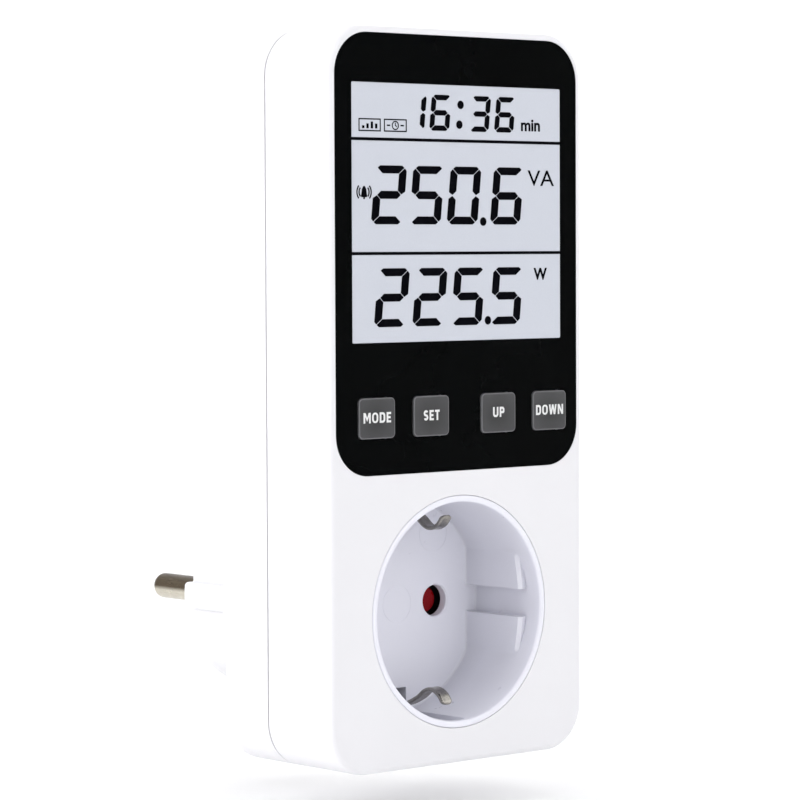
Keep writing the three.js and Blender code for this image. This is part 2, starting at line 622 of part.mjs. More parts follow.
function addScrews() {
  screwPlaces.forEach(([x, z], i) => {
    place(`case_screw_${i + 1}`, screw(x, z, HEAD_SEAT + SNUG, 8, 1.4, 2.6), STEEL);
  });
  DISPLAY_POSTS.forEach(([x, z], i) => {
    place(`display_screw_${i + 1}`, screw(x, z, BOARD.back + SNUG, 4.2, 0.95, 2), STEEL);
  });
  INSERT_LUGS.forEach(([x, z], i) => {
    place(`carrier_screw_${i + 1}`, screw(x, z, CARRIER.back + SNUG, 19.6, 0.85, 1.8), STEEL);
  });
  POWER_POSTS.forEach(([x, z], i) => {
    place(`power_screw_${i + 1}`,
      screwFromFront(x, z, POWER_BOARD.front - SNUG, 29.2, 0.95, 2), STEEL);
  });
}

// ---- the whole meter -------------------------------------------------------------------------------
place('front_housing', frontHousing(), WHITE);
place('rear_housing', rearHousing(), WHITE);
addDisplay();
addKeys();
addSocket();
addPlug();
addWiring();
addElectronics();
addScrews();

export default meter;
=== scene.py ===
import math

import bmesh
import bpy
from mathutils import Matrix, Vector


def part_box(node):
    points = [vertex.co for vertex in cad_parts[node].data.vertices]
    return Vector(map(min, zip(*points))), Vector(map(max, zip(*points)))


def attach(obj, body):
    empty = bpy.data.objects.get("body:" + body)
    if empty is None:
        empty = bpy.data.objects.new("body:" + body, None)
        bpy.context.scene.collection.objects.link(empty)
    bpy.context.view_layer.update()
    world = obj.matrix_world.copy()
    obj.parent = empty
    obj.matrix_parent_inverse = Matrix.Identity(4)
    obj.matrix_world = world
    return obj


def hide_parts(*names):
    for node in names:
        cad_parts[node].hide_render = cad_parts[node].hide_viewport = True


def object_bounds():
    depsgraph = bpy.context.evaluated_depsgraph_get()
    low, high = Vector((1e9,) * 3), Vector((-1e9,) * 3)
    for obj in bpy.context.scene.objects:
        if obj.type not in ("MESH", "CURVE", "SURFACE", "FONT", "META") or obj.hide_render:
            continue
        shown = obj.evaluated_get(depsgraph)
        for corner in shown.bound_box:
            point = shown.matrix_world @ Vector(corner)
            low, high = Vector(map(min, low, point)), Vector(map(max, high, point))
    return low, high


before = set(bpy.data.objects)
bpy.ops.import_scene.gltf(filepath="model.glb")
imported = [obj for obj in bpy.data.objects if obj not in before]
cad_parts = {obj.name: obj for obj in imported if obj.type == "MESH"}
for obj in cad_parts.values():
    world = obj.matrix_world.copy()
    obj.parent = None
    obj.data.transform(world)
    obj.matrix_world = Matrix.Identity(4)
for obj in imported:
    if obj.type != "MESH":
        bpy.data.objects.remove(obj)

# The looks of a plug-in power meter. Lengths are in millimetres until a mesh is made.
# x runs to the right, z up, and "depth" backwards from the front face.
MM = 0.001
cad_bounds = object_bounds()


def box_mm(node):
    low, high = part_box(node)
    return low / MM, high / MM


BODY_LOW, BODY_HIGH = box_mm("front_housing")
REAR_LOW, REAR_HIGH = box_mm("rear_housing")
PANEL_LOW, PANEL_HIGH = box_mm("display_lens")
GLASS_LOW, GLASS_HIGH = box_mm("lcd_glass")
PLUG_LOW, PLUG_HIGH = box_mm("plug_body")
PIN_LOW, PIN_HIGH = box_mm("line_pin")
SHUTTER_LOW, SHUTTER_HIGH = box_mm("shutter")

FRONT = BODY_LOW.y
SEAM_FRONT = BODY_HIGH.y - FRONT
SEAM_BACK = REAR_LOW.y - FRONT
PLINTH_BACK = REAR_HIGH.y - FRONT
PLUG_FACE = PLUG_HIGH.y - FRONT
PIN_TIP = PIN_HIGH.y - FRONT
PIN_X = (PIN_LOW.x + PIN_HIGH.x) / -2
PIN_RADIUS = 2.4
CORNER = 8.5
WALL = 2.2
FRONT_WALL = 2.6
SHELL_BACK = 31
PANEL_CORNER = 7.4
PANEL_THICKNESS = 1.4
KEY_FLANGE = 0.9
KEY_CORNER = 0.9
LABEL_DEPTH = 0.35
WINDOW = {"left": -25.34, "right": 25.18, "bottom": 48.83, "top": 94.63}
WELL = {"radius": 19.8, "rim": 21.0, "depth": 17.5, "floor": 2.5, "chord": 17.3, "channel": 2.6, "guide": 2.6}
EARTH = {"slot": 2.2, "inner": 15.5, "outer": 20.5}
BOSS = {"radius": 18.45, "chord": 16.3, "rib": 2.5}
PLINTH_RADIUS = 24
PIN_HOLE = 2.9
PIT_LEAD = 0.6


# ---- outlines and meshes ---------------------------------------------------------------------------
def rounded(points, steps=6, closed=True):
    """A polyline whose points may carry a corner radius as a third value."""
    path = []
    count = len(points)
    for i, point in enumerate(points):
        here = Vector(point[:2])
        radius = point[2] if len(point) > 2 else 0
        if radius == 0 or (not closed and i in (0, count - 1)):
            path.append(here)
            continue
        to_last = Vector(points[i - 1][:2]) - here
        to_next = Vector(points[(i + 1) % count][:2]) - here
        half = to_last.angle(to_next) / 2
        reach = min(radius / math.tan(half), 0.49 * to_last.length, 0.49 * to_next.length)
        to_last.normalize()
        to_next.normalize()
        centre = here + (to_last + to_next).normalized() * reach / math.cos(half)
        first = here + to_last * reach - centre
        last = here + to_next * reach - centre
        sweep = math.atan2(first.x * last.y - first.y * last.x, first.dot(last))
        for k in range(steps + 1):
            turn = sweep * k / steps
            cos, sin = math.cos(turn), math.sin(turn)
            path.append(centre + Vector((first.x * cos - first.y * sin, first.x * sin + first.y * cos)))
    return path


def rounded_box(x0, x1, z0, z1, radius, steps=12):
    return rounded([(x0, z0, radius), (x1, z0, radius), (x1, z1, radius), (x0, z1, radius)], steps)


def circle(radius, x=0, z=0, segments=96):
    turns = [2 * math.pi * i / segments for i in range(segments)]
    return [Vector((x + radius * math.cos(t), z + radius * math.sin(t))) for t in turns]


def arc(radius, start, stop, steps, x=0, z=0):
    """Points along a circle from one angle to another, in degrees."""
    turns = [math.radians(start + (stop - start) * i / steps) for i in range(steps + 1)]
    return [Vector((x + radius * math.cos(t), z + radius * math.sin(t))) for t in turns]


def inset(outline, distance):
    """The outline moved inwards, where its points run anticlockwise."""
    moved = []
    for i, point in enumerate(outline):
        before = (point - outline[i - 1]).normalized()
        after = (outline[(i + 1) % len(outline)] - point).normalized()
        normal = Vector((-before.y - after.y, before.x + after.x))
        normal /= max(normal.length_squared / 2, 0.5)
        moved.append(point + normal * distance)
    return moved


def quarter(steps):
    """Angles from nothing to a right angle, in radians."""
    return [math.pi / 2 * k / steps for k in range(steps + 1)]


def fillet_steps(radius, steps=5):
    """(inset, depth) pairs of a quarter round that starts on the end face and ends on the side."""
    return [(radius * (1 - math.sin(t)), radius * (1 - math.cos(t))) for t in quarter(steps)]


def into_scene(name, data):
    made = bpy.data.objects.new(name, data)
    bpy.context.scene.collection.objects.link(made)
    return made


def new_object(name, vertices, faces):
    mesh = bpy.data.meshes.new(name)
    mesh.from_pydata([Vector(v) * MM for v in vertices], [], faces)
    work = bmesh.new()
    work.from_mesh(mesh)
    bmesh.ops.remove_doubles(work, verts=work.verts, dist=1e-7)
    bmesh.ops.recalc_face_normals(work, faces=work.faces)
    work.to_mesh(mesh)
    work.free()
    return into_scene(name, mesh)


def loft(name, rings):
    """A closed body through rings of 3-D points that all have the same count."""
    count = len(rings[0])
    vertices = [point for ring in rings for point in ring]
    faces = [tuple(range(count)), tuple(range(len(vertices) - count, len(vertices)))]
    for level in range(len(rings) - 1):
        base = level * count
        for i in range(count):
            j = (i + 1) % count
            faces.append((base + i, base + j, base + count + j, base + count + i))
    return new_object(name, vertices, faces)


def at_depth(outline, depth):
    return [(point.x, FRONT + depth, point.y) for point in outline]


def slab(name, outline, front, back, front_round=0, back_round=0):
    """An outline pushed from one depth to another, with a quarter round at either end."""
    first = fillet_steps(front_round) if front_round else [(0, 0)]
    last = fillet_steps(back_round) if back_round else [(0, 0)]
    rings = [at_depth(inset(outline, i), front + d) for i, d in first]
    rings += [at_depth(inset(outline, i), back - d) for i, d in reversed(last)]
    return loft(name, rings)


def pit(outline, mouth, floor, flare=0.15):
    """A cutter that runs from its mouth to its floor, either way, with a small chamfer at the mouth."""
    inwards = math.copysign(1, floor - mouth)
    return loft("cutter", [
        at_depth(inset(outline, -flare - PIT_LEAD), mouth - inwards * PIT_LEAD),
        at_depth(outline, mouth + inwards * flare),
        at_depth(outline, floor),
    ])


def block(x0, x1, front, back, z0, z1):
    return slab("cutter", [Vector(p) for p in ((x0, z0), (x1, z0), (x1, z1), (x0, z1))], front, back)


def turned(name, profile, x=0, z=0, segments=96):
    """A body turned about the depth axis, from (radius, depth) points with radii above zero."""
    return loft(name, [at_depth(circle(radius, x, z, segments), depth) for radius, depth in profile])


def combine(base, others, operation):
    for other in others:
        modifier = base.modifiers.new("cut", "BOOLEAN")
        modifier.operation = operation
        modifier.solver = "EXACT"
        modifier.object = other
    graph = bpy.context.evaluated_depsgraph_get()
    result = bpy.data.meshes.new_from_object(base.evaluated_get(graph))
    base.modifiers.clear()
    base.data = result
    for other in others:
        bpy.data.objects.remove(other)
    return base


def carve(base, *cutters):
    return combine(base, cutters, "DIFFERENCE")


def weld(base, *others):
    return combine(base, others, "UNION")


def join_all(name, parts):
    """One mesh object from several that don't touch."""
    work = bmesh.new()
    for part in parts:
        work.from_mesh(part.data)
        bpy.data.objects.remove(part)
    mesh = bpy.data.meshes.new(name)
    work.to_mesh(mesh)
    work.free()
    return into_scene(name, mesh)


def finish_piece(piece, name, material, body="case", replaces=(), smooth_under=32):
    piece.name = name
    piece.data.name = name
    piece.data.materials.clear()
    piece.data.materials.append(material)
    piece.data.shade_smooth()
    piece.data.set_sharp_from_angle(angle=math.radians(smooth_under))
    weighted = piece.modifiers.new("even_shading", "WEIGHTED_NORMAL")
    weighted.keep_sharp = True
    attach(piece, body)
    if replaces:
        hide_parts(*replaces)
    return piece


# ---- materials -------------------------------------------------------------------------------------
def start_material(name):
    made = bpy.data.materials.new(name)
    made.use_nodes = True
    return made, made.node_tree, made.node_tree.nodes["Principled BSDF"]


def add(tree, kind):
    return tree.nodes.new("ShaderNode" + kind)


def link(source, target):
    source.id_data.links.new(source, target)


def dial(node, values):
    """Sets some of a node's inputs, by name."""
    for name, value in values.items():
        node.inputs[name].default_value = value


def millimetre_space(tree, stretch=(1, 1, 1)):
    """Object coordinates in millimetres, so that a scale reads as cycles per millimetre."""
    place = add(tree, "TexCoord")
    scaled = add(tree, "Mapping")
    scaled.inputs["Scale"].default_value = [s / MM for s in stretch]
    link(place.outputs["Object"], scaled.inputs["Vector"])
    return scaled.outputs["Vector"]


def noise(tree, space, scale, detail=2.0, roughness=0.5):
    node = add(tree, "TexNoise")
    dial(node, {"Scale": scale, "Detail": detail, "Roughness": roughness})
    link(space, node.inputs["Vector"])
    return node.outputs["Fac"]


def remap(tree, value, low, high, from_low=0.3, from_high=0.7):
    node = add(tree, "MapRange")
    dial(node, {"From Min": from_low, "From Max": from_high, "To Min": low, "To Max": high})
    link(value, node.inputs["Value"])
    return node.outputs["Result"]


def colour_mix(tree, blend):
    """A colour mixer's factor and two colour inputs, and its output."""
    node = add(tree, "Mix")
    node.data_type = "RGBA"
    node.blend_type = blend
    return node.inputs["Factor"], node.inputs[6], node.inputs[7], node.outputs[2]


def mix_colours(tree, share, first, second):
    factor, first_input, second_input, mixed = colour_mix(tree, "MIX")
    first_input.default_value = (*first, 1)
    second_input.default_value = (*second, 1)
    link(share, factor)
    return mixed


def bump(tree, bsdf, height, distance):
    node = add(tree, "Bump")
    dial(node, {"Distance": distance * MM, "Strength": 1.0})
    link(height, node.inputs["Height"])
    link(node.outputs["Normal"], bsdf.inputs["Normal"])


def surface(bsdf, colour, roughness):
    link(colour, bsdf.inputs["Base Color"])
    link(roughness, bsdf.inputs["Roughness"])


def shade(colour, factor):
    return tuple(min(1.0, c * factor) for c in colour)


def moulded(name, colour, roughness, grain=3.0, relief=0.004, mottle=0.03, spread=0.05, specular=0.5):
    """Injection-moulded plastic: faint tone changes, a fine spark-eroded grain and an uneven sheen."""
    made, tree, bsdf = start_material(name)
    space = millimetre_space(tree)
    broad = remap(tree, noise(tree, space, 0.06, 3), 0, 1)
    tone = mix_colours(tree, broad, shade(colour, 1 - mottle), shade(colour, 1 + mottle))
    sheen = remap(tree, noise(tree, space, 0.25, 4, 0.6), roughness - spread, roughness + spread)
    surface(bsdf, tone, sheen)
    bump(tree, bsdf, noise(tree, space, grain, 3, 0.6), relief)
    bsdf.inputs["Specular IOR Level"].default_value = specular
    return made


def share_along(tree, axis, start, stop):
    """How far a point has come from one place to another along an axis, from 0 to 1."""
    place = add(tree, "TexCoord")
    split = add(tree, "SeparateXYZ")
    link(place.outputs["Object"], split.inputs["Vector"])
    return remap(tree, split.outputs[axis], 0, 1, start * MM, stop * MM)


def tinted(made, tint):
    """The material with its colour multiplied by another."""
    tree = made.node_tree
    colour = tree.nodes["Principled BSDF"].inputs["Base Color"]
    factor, first_input, second_input, mixed = colour_mix(tree, "MULTIPLY")
    factor.default_value = 1.0
    link(colour.links[0].from_socket, first_input)
    link(tint, second_input)
    link(mixed, colour)
    return made


def paint_shade_by_depth(made, stops):
    """A moulding that grows darker or lighter with depth, from (depth, grey) stops: painted shade for the
    dimmer light deep in a recess.
    """
    tree = made.node_tree
    first, last = stops[0][0], stops[-1][0]
    ramp = add(tree, "ValToRGB")
    for number, (depth, grey) in enumerate(stops):
        at = (depth - first) / (last - first)
        elements = ramp.color_ramp.elements
        stop = elements[number] if number < 2 else elements.new(at)
        stop.position = at
        stop.color = (grey, grey, grey, 1)
    link(share_along(tree, "Y", FRONT + first, FRONT + last), ramp.inputs["Fac"])
    return tinted(made, ramp.outputs["Color"])


def paint_shade_by_height(made, low, high, lower, upper):
    """A material with one tint up to a height and another from a second height up, for a painted reflection
    that changes with height.
    """
    tree = made.node_tree
    return tinted(made, mix_colours(tree, share_along(tree, "Z", low, high), lower, upper))


def metal(name, colour, roughness, stretch=(1, 1, 1), scale=2.0, relief=0.003, tarnish=0.12):
    """Plated or bare metal with drawing lines along the unstretched axis and a little tarnish."""
    made, tree, bsdf = start_material(name)
    space = millimetre_space(tree, stretch)
    lines = noise(tree, space, scale, 4, 0.6)
    stains = remap(tree, noise(tree, millimetre_space(tree), 0.35, 4, 0.6), 0, 1)
    tone = mix_colours(tree, stains, shade(colour, 1 - tarnish), shade(colour, 1 + tarnish / 2))
    surface(bsdf, tone, remap(tree, lines, roughness * 0.7, roughness * 1.4))
    bsdf.inputs["Metallic"].default_value = 1.0
    bump(tree, bsdf, lines, relief)
    return made


def display_face():
    """The liquid crystal cell: a cool grey reflector with a very fine sparkle under a satin polariser."""
    made, tree, bsdf = start_material("display_face")
    space = millimetre_space(tree)
    sparkle = remap(tree, noise(tree, space, 6, 2), 0, 1)
    tone = mix_colours(tree, sparkle, (0.600, 0.625, 0.690), (0.622, 0.648, 0.712))
    surface(bsdf, tone, remap(tree, noise(tree, space, 0.1, 2), 0.3, 0.38))
    bsdf.inputs["Specular IOR Level"].default_value = 0.2
    return made


def key_surface():
    """A key cap: darker in the middle and growing lighter towards its edge."""
    made, tree, bsdf = start_material("key_surface")
    place = add(tree, "TexCoord")
    centred = add(tree, "Mapping")
    centred.inputs["Location"].default_value = (-0.5, -0.5, -0.46)
    link(place.outputs["Generated"], centred.inputs["Vector"])
    flat = add(tree, "VectorMath")
    flat.operation = "MULTIPLY"
    flat.inputs[1].default_value = (1, 0, 1)
    link(centred.outputs["Vector"], flat.inputs[0])
    reach = add(tree, "VectorMath")
    reach.operation = "LENGTH"
    link(flat.outputs["Vector"], reach.inputs[0])
    fade = remap(tree, reach.outputs["Value"], 0, 1, 0.05, 0.5)
    tone = mix_colours(tree, fade, (0.018, 0.018, 0.019), (0.050, 0.050, 0.053))
    space = millimetre_space(tree)
    surface(bsdf, tone, remap(tree, noise(tree, space, 0.6, 3), 0.42, 0.52))
    bump(tree, bsdf, noise(tree, space, 5, 3), 0.003)
    return made


def circuit_board():
    """Green solder mask over faint copper tracks, with a woven laminate showing through."""
    made, tree, bsdf = start_material("circuit_board")
    space = millimetre_space(tree)
    tracks = add(tree, "TexBrick")
    dial(tracks, {"Scale": 0.35, "Mortar Size": 0.06, "Color1": (0.012, 0.085, 0.036, 1),
                  "Color2": (0.016, 0.105, 0.045, 1), "Mortar": (0.030, 0.170, 0.075, 1)})
    turned_space = add(tree, "Mapping")
    turned_space.inputs["Rotation"].default_value = (math.pi / 2, 0, 0)
    link(space, turned_space.inputs["Vector"])
    link(turned_space.outputs["Vector"], tracks.inputs["Vector"])
    surface(bsdf, tracks.outputs["Color"], remap(tree, noise(tree, space, 0.8, 3), 0.28, 0.42))
    bump(tree, bsdf, tracks.outputs["Fac"], 0.02)
    return made


def banded_rubber():
    """The zebra connector: conducting and insulating rubber in thin layers."""
    made, tree, bsdf = start_material("banded_rubber")
    bands = add(tree, "TexWave")
    bands.bands_direction = "X"
    bands.inputs["Scale"].default_value = 0.6
    link(millimetre_space(tree), bands.inputs["Vector"])
    tone = mix_colours(tree, bands.outputs["Fac"], (0.02, 0.02, 0.022), (0.35, 0.34, 0.33))
    link(tone, bsdf.inputs["Base Color"])
    bsdf.inputs["Roughness"].default_value = 0.7
    bump(tree, bsdf, bands.outputs["Fac"], 0.01)
    return made


WHITE = moulded("housing_white", (0.836, 0.832, 0.858), 0.40, grain=4.0, relief=0.0035, mottle=0.006)
# Painted shade: this white grows darker with depth down the socket well's walls, to 0.82 at the corner round
# the floor, and the floor itself is light again.
INSERT_WHITE = paint_shade_by_depth(
    moulded("insert_white", (0.868, 0.868, 0.945), 0.32, grain=5.0, relief=0.002, mottle=0.006),
    [(0.3, 1.0), (1.6, 0.96), (3.5, 0.95), (12.0, 0.92), (17.4, 0.82), (17.49, 0.98)])
LENS_BLACK = moulded("lens_black", (0.0008, 0.0011, 0.0012), 0.10, grain=1.5, relief=0.0004, mottle=0.2,
                     spread=0.02, specular=0.025)
DISPLAY = display_face()
INK = moulded("crystal_black", (0.0012, 0.0013, 0.0028), 0.35, grain=6.0, relief=0.0005, mottle=0.2,
              specular=0.02)
KEY = key_surface()
KEY_RIM = moulded("key_rim_grey", (0.150, 0.150, 0.158), 0.45, grain=6.0, relief=0.002, mottle=0.08)
CAPTION = moulded("caption_white", (0.84, 0.84, 0.84), 0.5, grain=8.0, relief=0.001, mottle=0.02)
SHUTTER_RED = moulded("shutter_red", (0.27, 0.0, 0.003), 0.30, grain=4.0, relief=0.002, mottle=0.12,
                      specular=0.25)
NICKEL = metal("nickel_plate", (0.55, 0.52, 0.46), 0.22, (1, 0.12, 1), 4.0, 0.001, 0.05)
# Painted reflection: each pin is light below its axis and dark brown above it, as if its top reflected
# something dark.
PIN_NICKEL = paint_shade_by_height(metal("pin_nickel", (0.62, 0.60, 0.55), 0.30, (1, 0.12, 1), 4.0, 0.001, 0.05),
                            -0.6, 0.2, (0.96, 0.93, 0.86), (0.16, 0.128, 0.093))
CLIP_METAL = metal("clip_metal", (0.30, 0.285, 0.262), 0.22, (1, 0.3, 1), 3.0, 0.002, 0.2)
STEEL = metal("zinc_steel", (0.46, 0.47, 0.49), 0.32, (1, 1, 1), 3.0, 0.003)
BRASS = metal("contact_brass", (0.62, 0.42, 0.15), 0.32, (1, 0.2, 1), 2.0, 0.004)
COPPER = metal("bare_copper", (0.60, 0.27, 0.13), 0.34, (1, 0.2, 1), 2.0, 0.004)
BLACK_PART = moulded("black_moulding", (0.018, 0.018, 0.020), 0.48, grain=3.0, relief=0.006, mottle=0.15)
LIGHT_GUIDE = moulded("light_guide", (0.82, 0.85, 0.88), 0.22, grain=1.2, relief=0.01, mottle=0.02)
YELLOW_PART = moulded("capacitor_yellow", (0.66, 0.44, 0.05), 0.42, grain=2.0, relief=0.01, mottle=0.08)
BLUE_PART = moulded("coated_blue", (0.03, 0.09, 0.33), 0.36, grain=1.0, relief=0.03, mottle=0.12)
CERAMIC = moulded("fuse_ceramic", (0.78, 0.78, 0.75), 0.26, grain=1.5, relief=0.004, mottle=0.03)
WIRE_COVER = moulded("wire_cover", (0.020, 0.020, 0.022), 0.5, grain=2.0, relief=0.01, mottle=0.15)
BOARD = circuit_board()
ZEBRA = banded_rubber()


# ---- housing ---------------------------------------------------------------------------------------
def body_outline(gap=0.0):
    return rounded_box(
        BODY_LOW.x + gap, BODY_HIGH.x - gap, BODY_LOW.z + gap, BODY_HIGH.z - gap, CORNER - gap, 16)


def panel_outline(gap=0.0):
    return rounded_box(
        PANEL_LOW.x - gap, PANEL_HIGH.x + gap, PANEL_LOW.z - gap, PANEL_HIGH.z + gap, PANEL_CORNER + gap, 16)


def glass_outline(gap, corner):
    return rounded_box(
        GLASS_LOW.x + gap, GLASS_HIGH.x - gap, GLASS_LOW.z + gap, GLASS_HIGH.z - gap, corner, 3)


def key_outline(name, margin=0.0):
    """The visible cap of a key: the CAD cap without the flange hidden under the panel."""
    low, high = box_mm(f"button_{name}")
    trim = KEY_FLANGE - margin
    return rounded_box(low.x + trim, high.x - trim, low.z + trim, high.z - trim, KEY_CORNER + margin, 6)


KEYS = {"mode": "MODE", "set": "SET", "up": "UP", "down": "DOWN"}


def build_front_shell():
    shell = slab("front_shell", body_outline(), 0, SEAM_FRONT, 1.1, 0.12)
    cutters = [
        slab("cutter", body_outline(WALL), FRONT_WALL, SEAM_FRONT + 2),
        pit(panel_outline(0.04), 0, PANEL_THICKNESS + 0.1, 0.04),
        slab("cutter", glass_outline(-0.1, 0.5), 1, 4),
        pit(circle(WELL["rim"] + 0.06, segments=160), 0, 5, 0.1),
    ]
    cutters += [slab("cutter", key_outline(name, 0.3), 1, 4) for name in KEYS]
    carve(shell, *cutters)
    finish_piece(shell, "front_shell", WHITE, replaces=["front_housing"])


def screw_places():
    for number in range(1, 5):
        low, high = box_mm(f"case_screw_{number}")
        yield (low.x + high.x) / 2, (low.z + high.z) / 2


def build_plinth():
    """The round step that the plug stands on, with a flared foot and a rounded crown."""
    foot_round, crown_round, sunk = 1.2, 1.6, 2
    foot = [(PLINTH_RADIUS + foot_round * (1 - math.sin(t)), SHELL_BACK + foot_round * (1 - math.cos(t)))
            for t in quarter(6)]
    crown = [(PLINTH_RADIUS - i, PLINTH_BACK - d) for i, d in reversed(fillet_steps(crown_round, 6))]
    base = [(20, SHELL_BACK - sunk), (foot[0][0], SHELL_BACK - sunk)]
    return turned("plinth", base + foot + crown, segments=128)


def build_rear_shell():
    shell = slab("rear_shell", body_outline(), SEAM_BACK, SHELL_BACK, 0.12, 2.4)
    weld(shell, build_plinth())
    inner, seat, bore, tower, head_room = PLINTH_RADIUS - WALL, 22.2, 1.7, 4, 2.9
    cutters = [
        slab("cutter", body_outline(WALL), SEAM_BACK - 2, SHELL_BACK - WALL),
        turned("cutter", [(inner, 20), (inner, PLINTH_BACK - WALL)]),
        pit(circle(BOSS["radius"] + 0.25, segments=128), PLINTH_BACK, 30, 0.3),
        pit(rounded_box(-19, 19, 40, 88, 2), SHELL_BACK, SHELL_BACK - LABEL_DEPTH, 0.1),
    ]
    cutters += [pit(circle(head_room, x, z, 40), SHELL_BACK, 27, 0.35) for x, z in screw_places()]
    carve(shell, *cutters)
    towers = [turned("tower", [(tower, SEAM_BACK + 0.1), (tower, SHELL_BACK - WALL + 0.1)], x, z, 40)
              for x, z in screw_places()]
    bores = [turned("cutter", [(bore, 10), (bore, seat), (head_room, seat), (head_room, 30)], x, z, 40)
             for x, z in screw_places()]
    weld(shell, *towers)
    carve(shell, *bores)
    finish_piece(shell, "rear_shell", WHITE, replaces=["rear_housing"])


# ---- display ---------------------------------------------------------------------------------------
def window_outline(gap=0.0):
    return rounded_box(
        WINDOW["left"] + gap, WINDOW["right"] - gap, WINDOW["bottom"] + gap, WINDOW["top"] - gap, 0.25, 3)


def build_lens():
    sheet = slab("lens_sheet", panel_outline(), 0, PANEL_THICKNESS, 0.06)
    cutters = [pit(key_outline(name, 0.12), 0, 3, 0.08) for name in KEYS]
    carve(sheet, pit(window_outline(), 0, 3, 0.04), *cutters)
    finish_piece(sheet, "lens_sheet", LENS_BLACK, replaces=["display_lens"])


CELL_FACE = 0.06
PRINT_HEIGHT = 0.035
PRINT_SINK = 0.01


def build_cell():
    """The liquid crystal cell, with its polariser standing up into the panel's window."""
    glass = slab("lcd_cell", glass_outline(0, 0.3), GLASS_LOW.y - FRONT, GLASS_HIGH.y - FRONT, 0.1, 0.1)
    polariser = slab("polariser", window_outline(0.05), CELL_FACE, GLASS_LOW.y - FRONT + 0.5, 0.03)
    weld(glass, polariser)
    finish_piece(glass, "lcd_cell", DISPLAY, replaces=["lcd_glass"])


SLANT = 0.106
INK_SHIFT = -0.17
SEGMENTS_OF = {"0": "abcdef", "1": "bc", "2": "abged", "3": "abgcd", "5": "afgcd", "6": "afgcde"}


def segment_outlines(width, height, bar, post):
    """The seven mitred segments of one upright digit, as point lists from its lower left corner."""
    gap = 0.09
    tip = 0.62 * post
    slope = bar / post
    middle = height / 2
    knee = 0.45 * tip
    knee_z = height - knee * slope
    inner, outer = post + 0.6 * gap, width - post - 0.6 * gap
    top = [(tip + gap, height), (width - tip - gap, height), (width - knee - gap, knee_z),
           (width - post - gap, height - bar), (post + gap, height - bar), (knee + gap, knee_z)]
    upper = [(0, height - tip * slope - gap), (knee, knee_z - gap), (post, height - bar - gap),
             (post, middle + bar / 2 + gap), (post / 2, middle + gap), (0, middle + knee + gap)]
    centre = [(post / 2 + gap, middle), (inner, middle + bar / 2), (outer, middle + bar / 2),
              (width - post / 2 - gap, middle), (outer, middle - bar / 2), (inner, middle - bar / 2)]
    bottom = [(x, height - z) for x, z in top]
    lower = [(x, height - z) for x, z in upper]
    upper_right, lower_right = ([(width - x, z) for x, z in points] for points in (upper, lower))
    return {"a": top, "b": upper_right, "c": lower_right, "d": bottom, "e": lower, "f": upper, "g": centre}


def printed(outline):
    """A flat printed shape on the display."""
    return slab("ink", outline, CELL_FACE - PRINT_HEIGHT, CELL_FACE + PRINT_SINK)


def ink_patch(points, corner=0.12):
    """A printed shape with slightly rounded corners, from points in either order."""
    area = sum(a[0] * b[1] - b[0] * a[1] for a, b in zip(points, points[1:] + points[:1]))
    ordered = points if area > 0 else points[::-1]
    return printed(rounded([(x, z, corner) for x, z in ordered], 3))


def digit_patches(character, left, bottom, size):
    outlines = segment_outlines(**size)
    for letter in SEGMENTS_OF[character]:
        points = [(left + INK_SHIFT + x + SLANT * z, bottom + z) for x, z in outlines[letter]]
        yield ink_patch(points)


def dot_patch(x, z, radius):
    return printed(circle(radius, x, z, 40))


def stroke_sides(points, width, closed=False):
    """The two edges of a line of even width that runs through a few points."""
    path = [Vector(p) for p in points]
    count = len(path)
    sides = ([], [])
    for i, point in enumerate(path):
        before = (point - path[i - 1]).normalized() if i or closed else None
        after = (path[(i + 1) % count] - point).normalized() if i < count - 1 or closed else None
        before = before or after
        after = after or before
        normal = Vector((-before.y - after.y, before.x + after.x))
        normal /= max(normal.length_squared / 2, 0.4)
        sides[0].append(point + normal * width / 2)
        sides[1].append(point - normal * width / 2)
    return sides


def stroke_patch(points, width, closed=False):
    """A printed line of even width through a few points."""
    left, right = stroke_sides(points, width, closed)
    count = len(points)
    if not closed:
        return printed(right + left[::-1])
    ring = left + right
    vertices = at_depth(ring, CELL_FACE - PRINT_HEIGHT) + at_depth(ring, CELL_FACE + PRINT_SINK)
    faces = []
    for i in range(count):
        j = (i + 1) % count
        faces += [(i, j, count + j, count + i),
                  (2 * count + i, 3 * count + i, 3 * count + j, 2 * count + j),
                  (i, 2 * count + i, 2 * count + j, j),
                  (count + i, count + j, 3 * count + j, 3 * count + i)]
    return new_object("ink", vertices, faces)


SMALL_DIGIT = {"width": 4.75, "height": 6.4, "bar": 0.95, "post": 1.15}
LARGE_DIGIT = {"width": 7.45, "height": 10.35, "bar": 1.4, "post": 1.75}
READINGS = [
    ("reading_clock", SMALL_DIGIT, 86.39, [("1", -12.92), ("6", -6.95), ("3", 2.67), ("6", 8.78)],
     [(0.62, 91.12), (0.30, 87.58)], 0.76),
    ("reading_upper", LARGE_DIGIT, 69.72, [("2", -20.78), ("5", -11.81), ("0", -2.87), ("6", 7.7)],
     [(6.05, 70.25)], 0.78),
    ("reading_lower", LARGE_DIGIT, 51.62, [("2", -20.19), ("2", -11.19), ("5", -1.96), ("5", 7.5)],
     [(7.12, 52.4)], 0.78),
]


def build_readings():
    for name, size, bottom, digits, dots, dot_radius in READINGS:
        patches = []
        for character, left in digits:
            patches += digit_patches(character, left, bottom, size)
        patches += [dot_patch(x + INK_SHIFT, z, dot_radius) for x, z in dots]
        finish_piece(join_all(name, patches), name, INK)


def build_separators():
    half = 0.27
    for number, z in enumerate((84.66, 64.59), 1):
        line = printed(rounded_box(WINDOW["left"], WINDOW["right"], z - half, z + half, 0.05, 2))
        finish_piece(line, f"display_divider_{number}", INK)


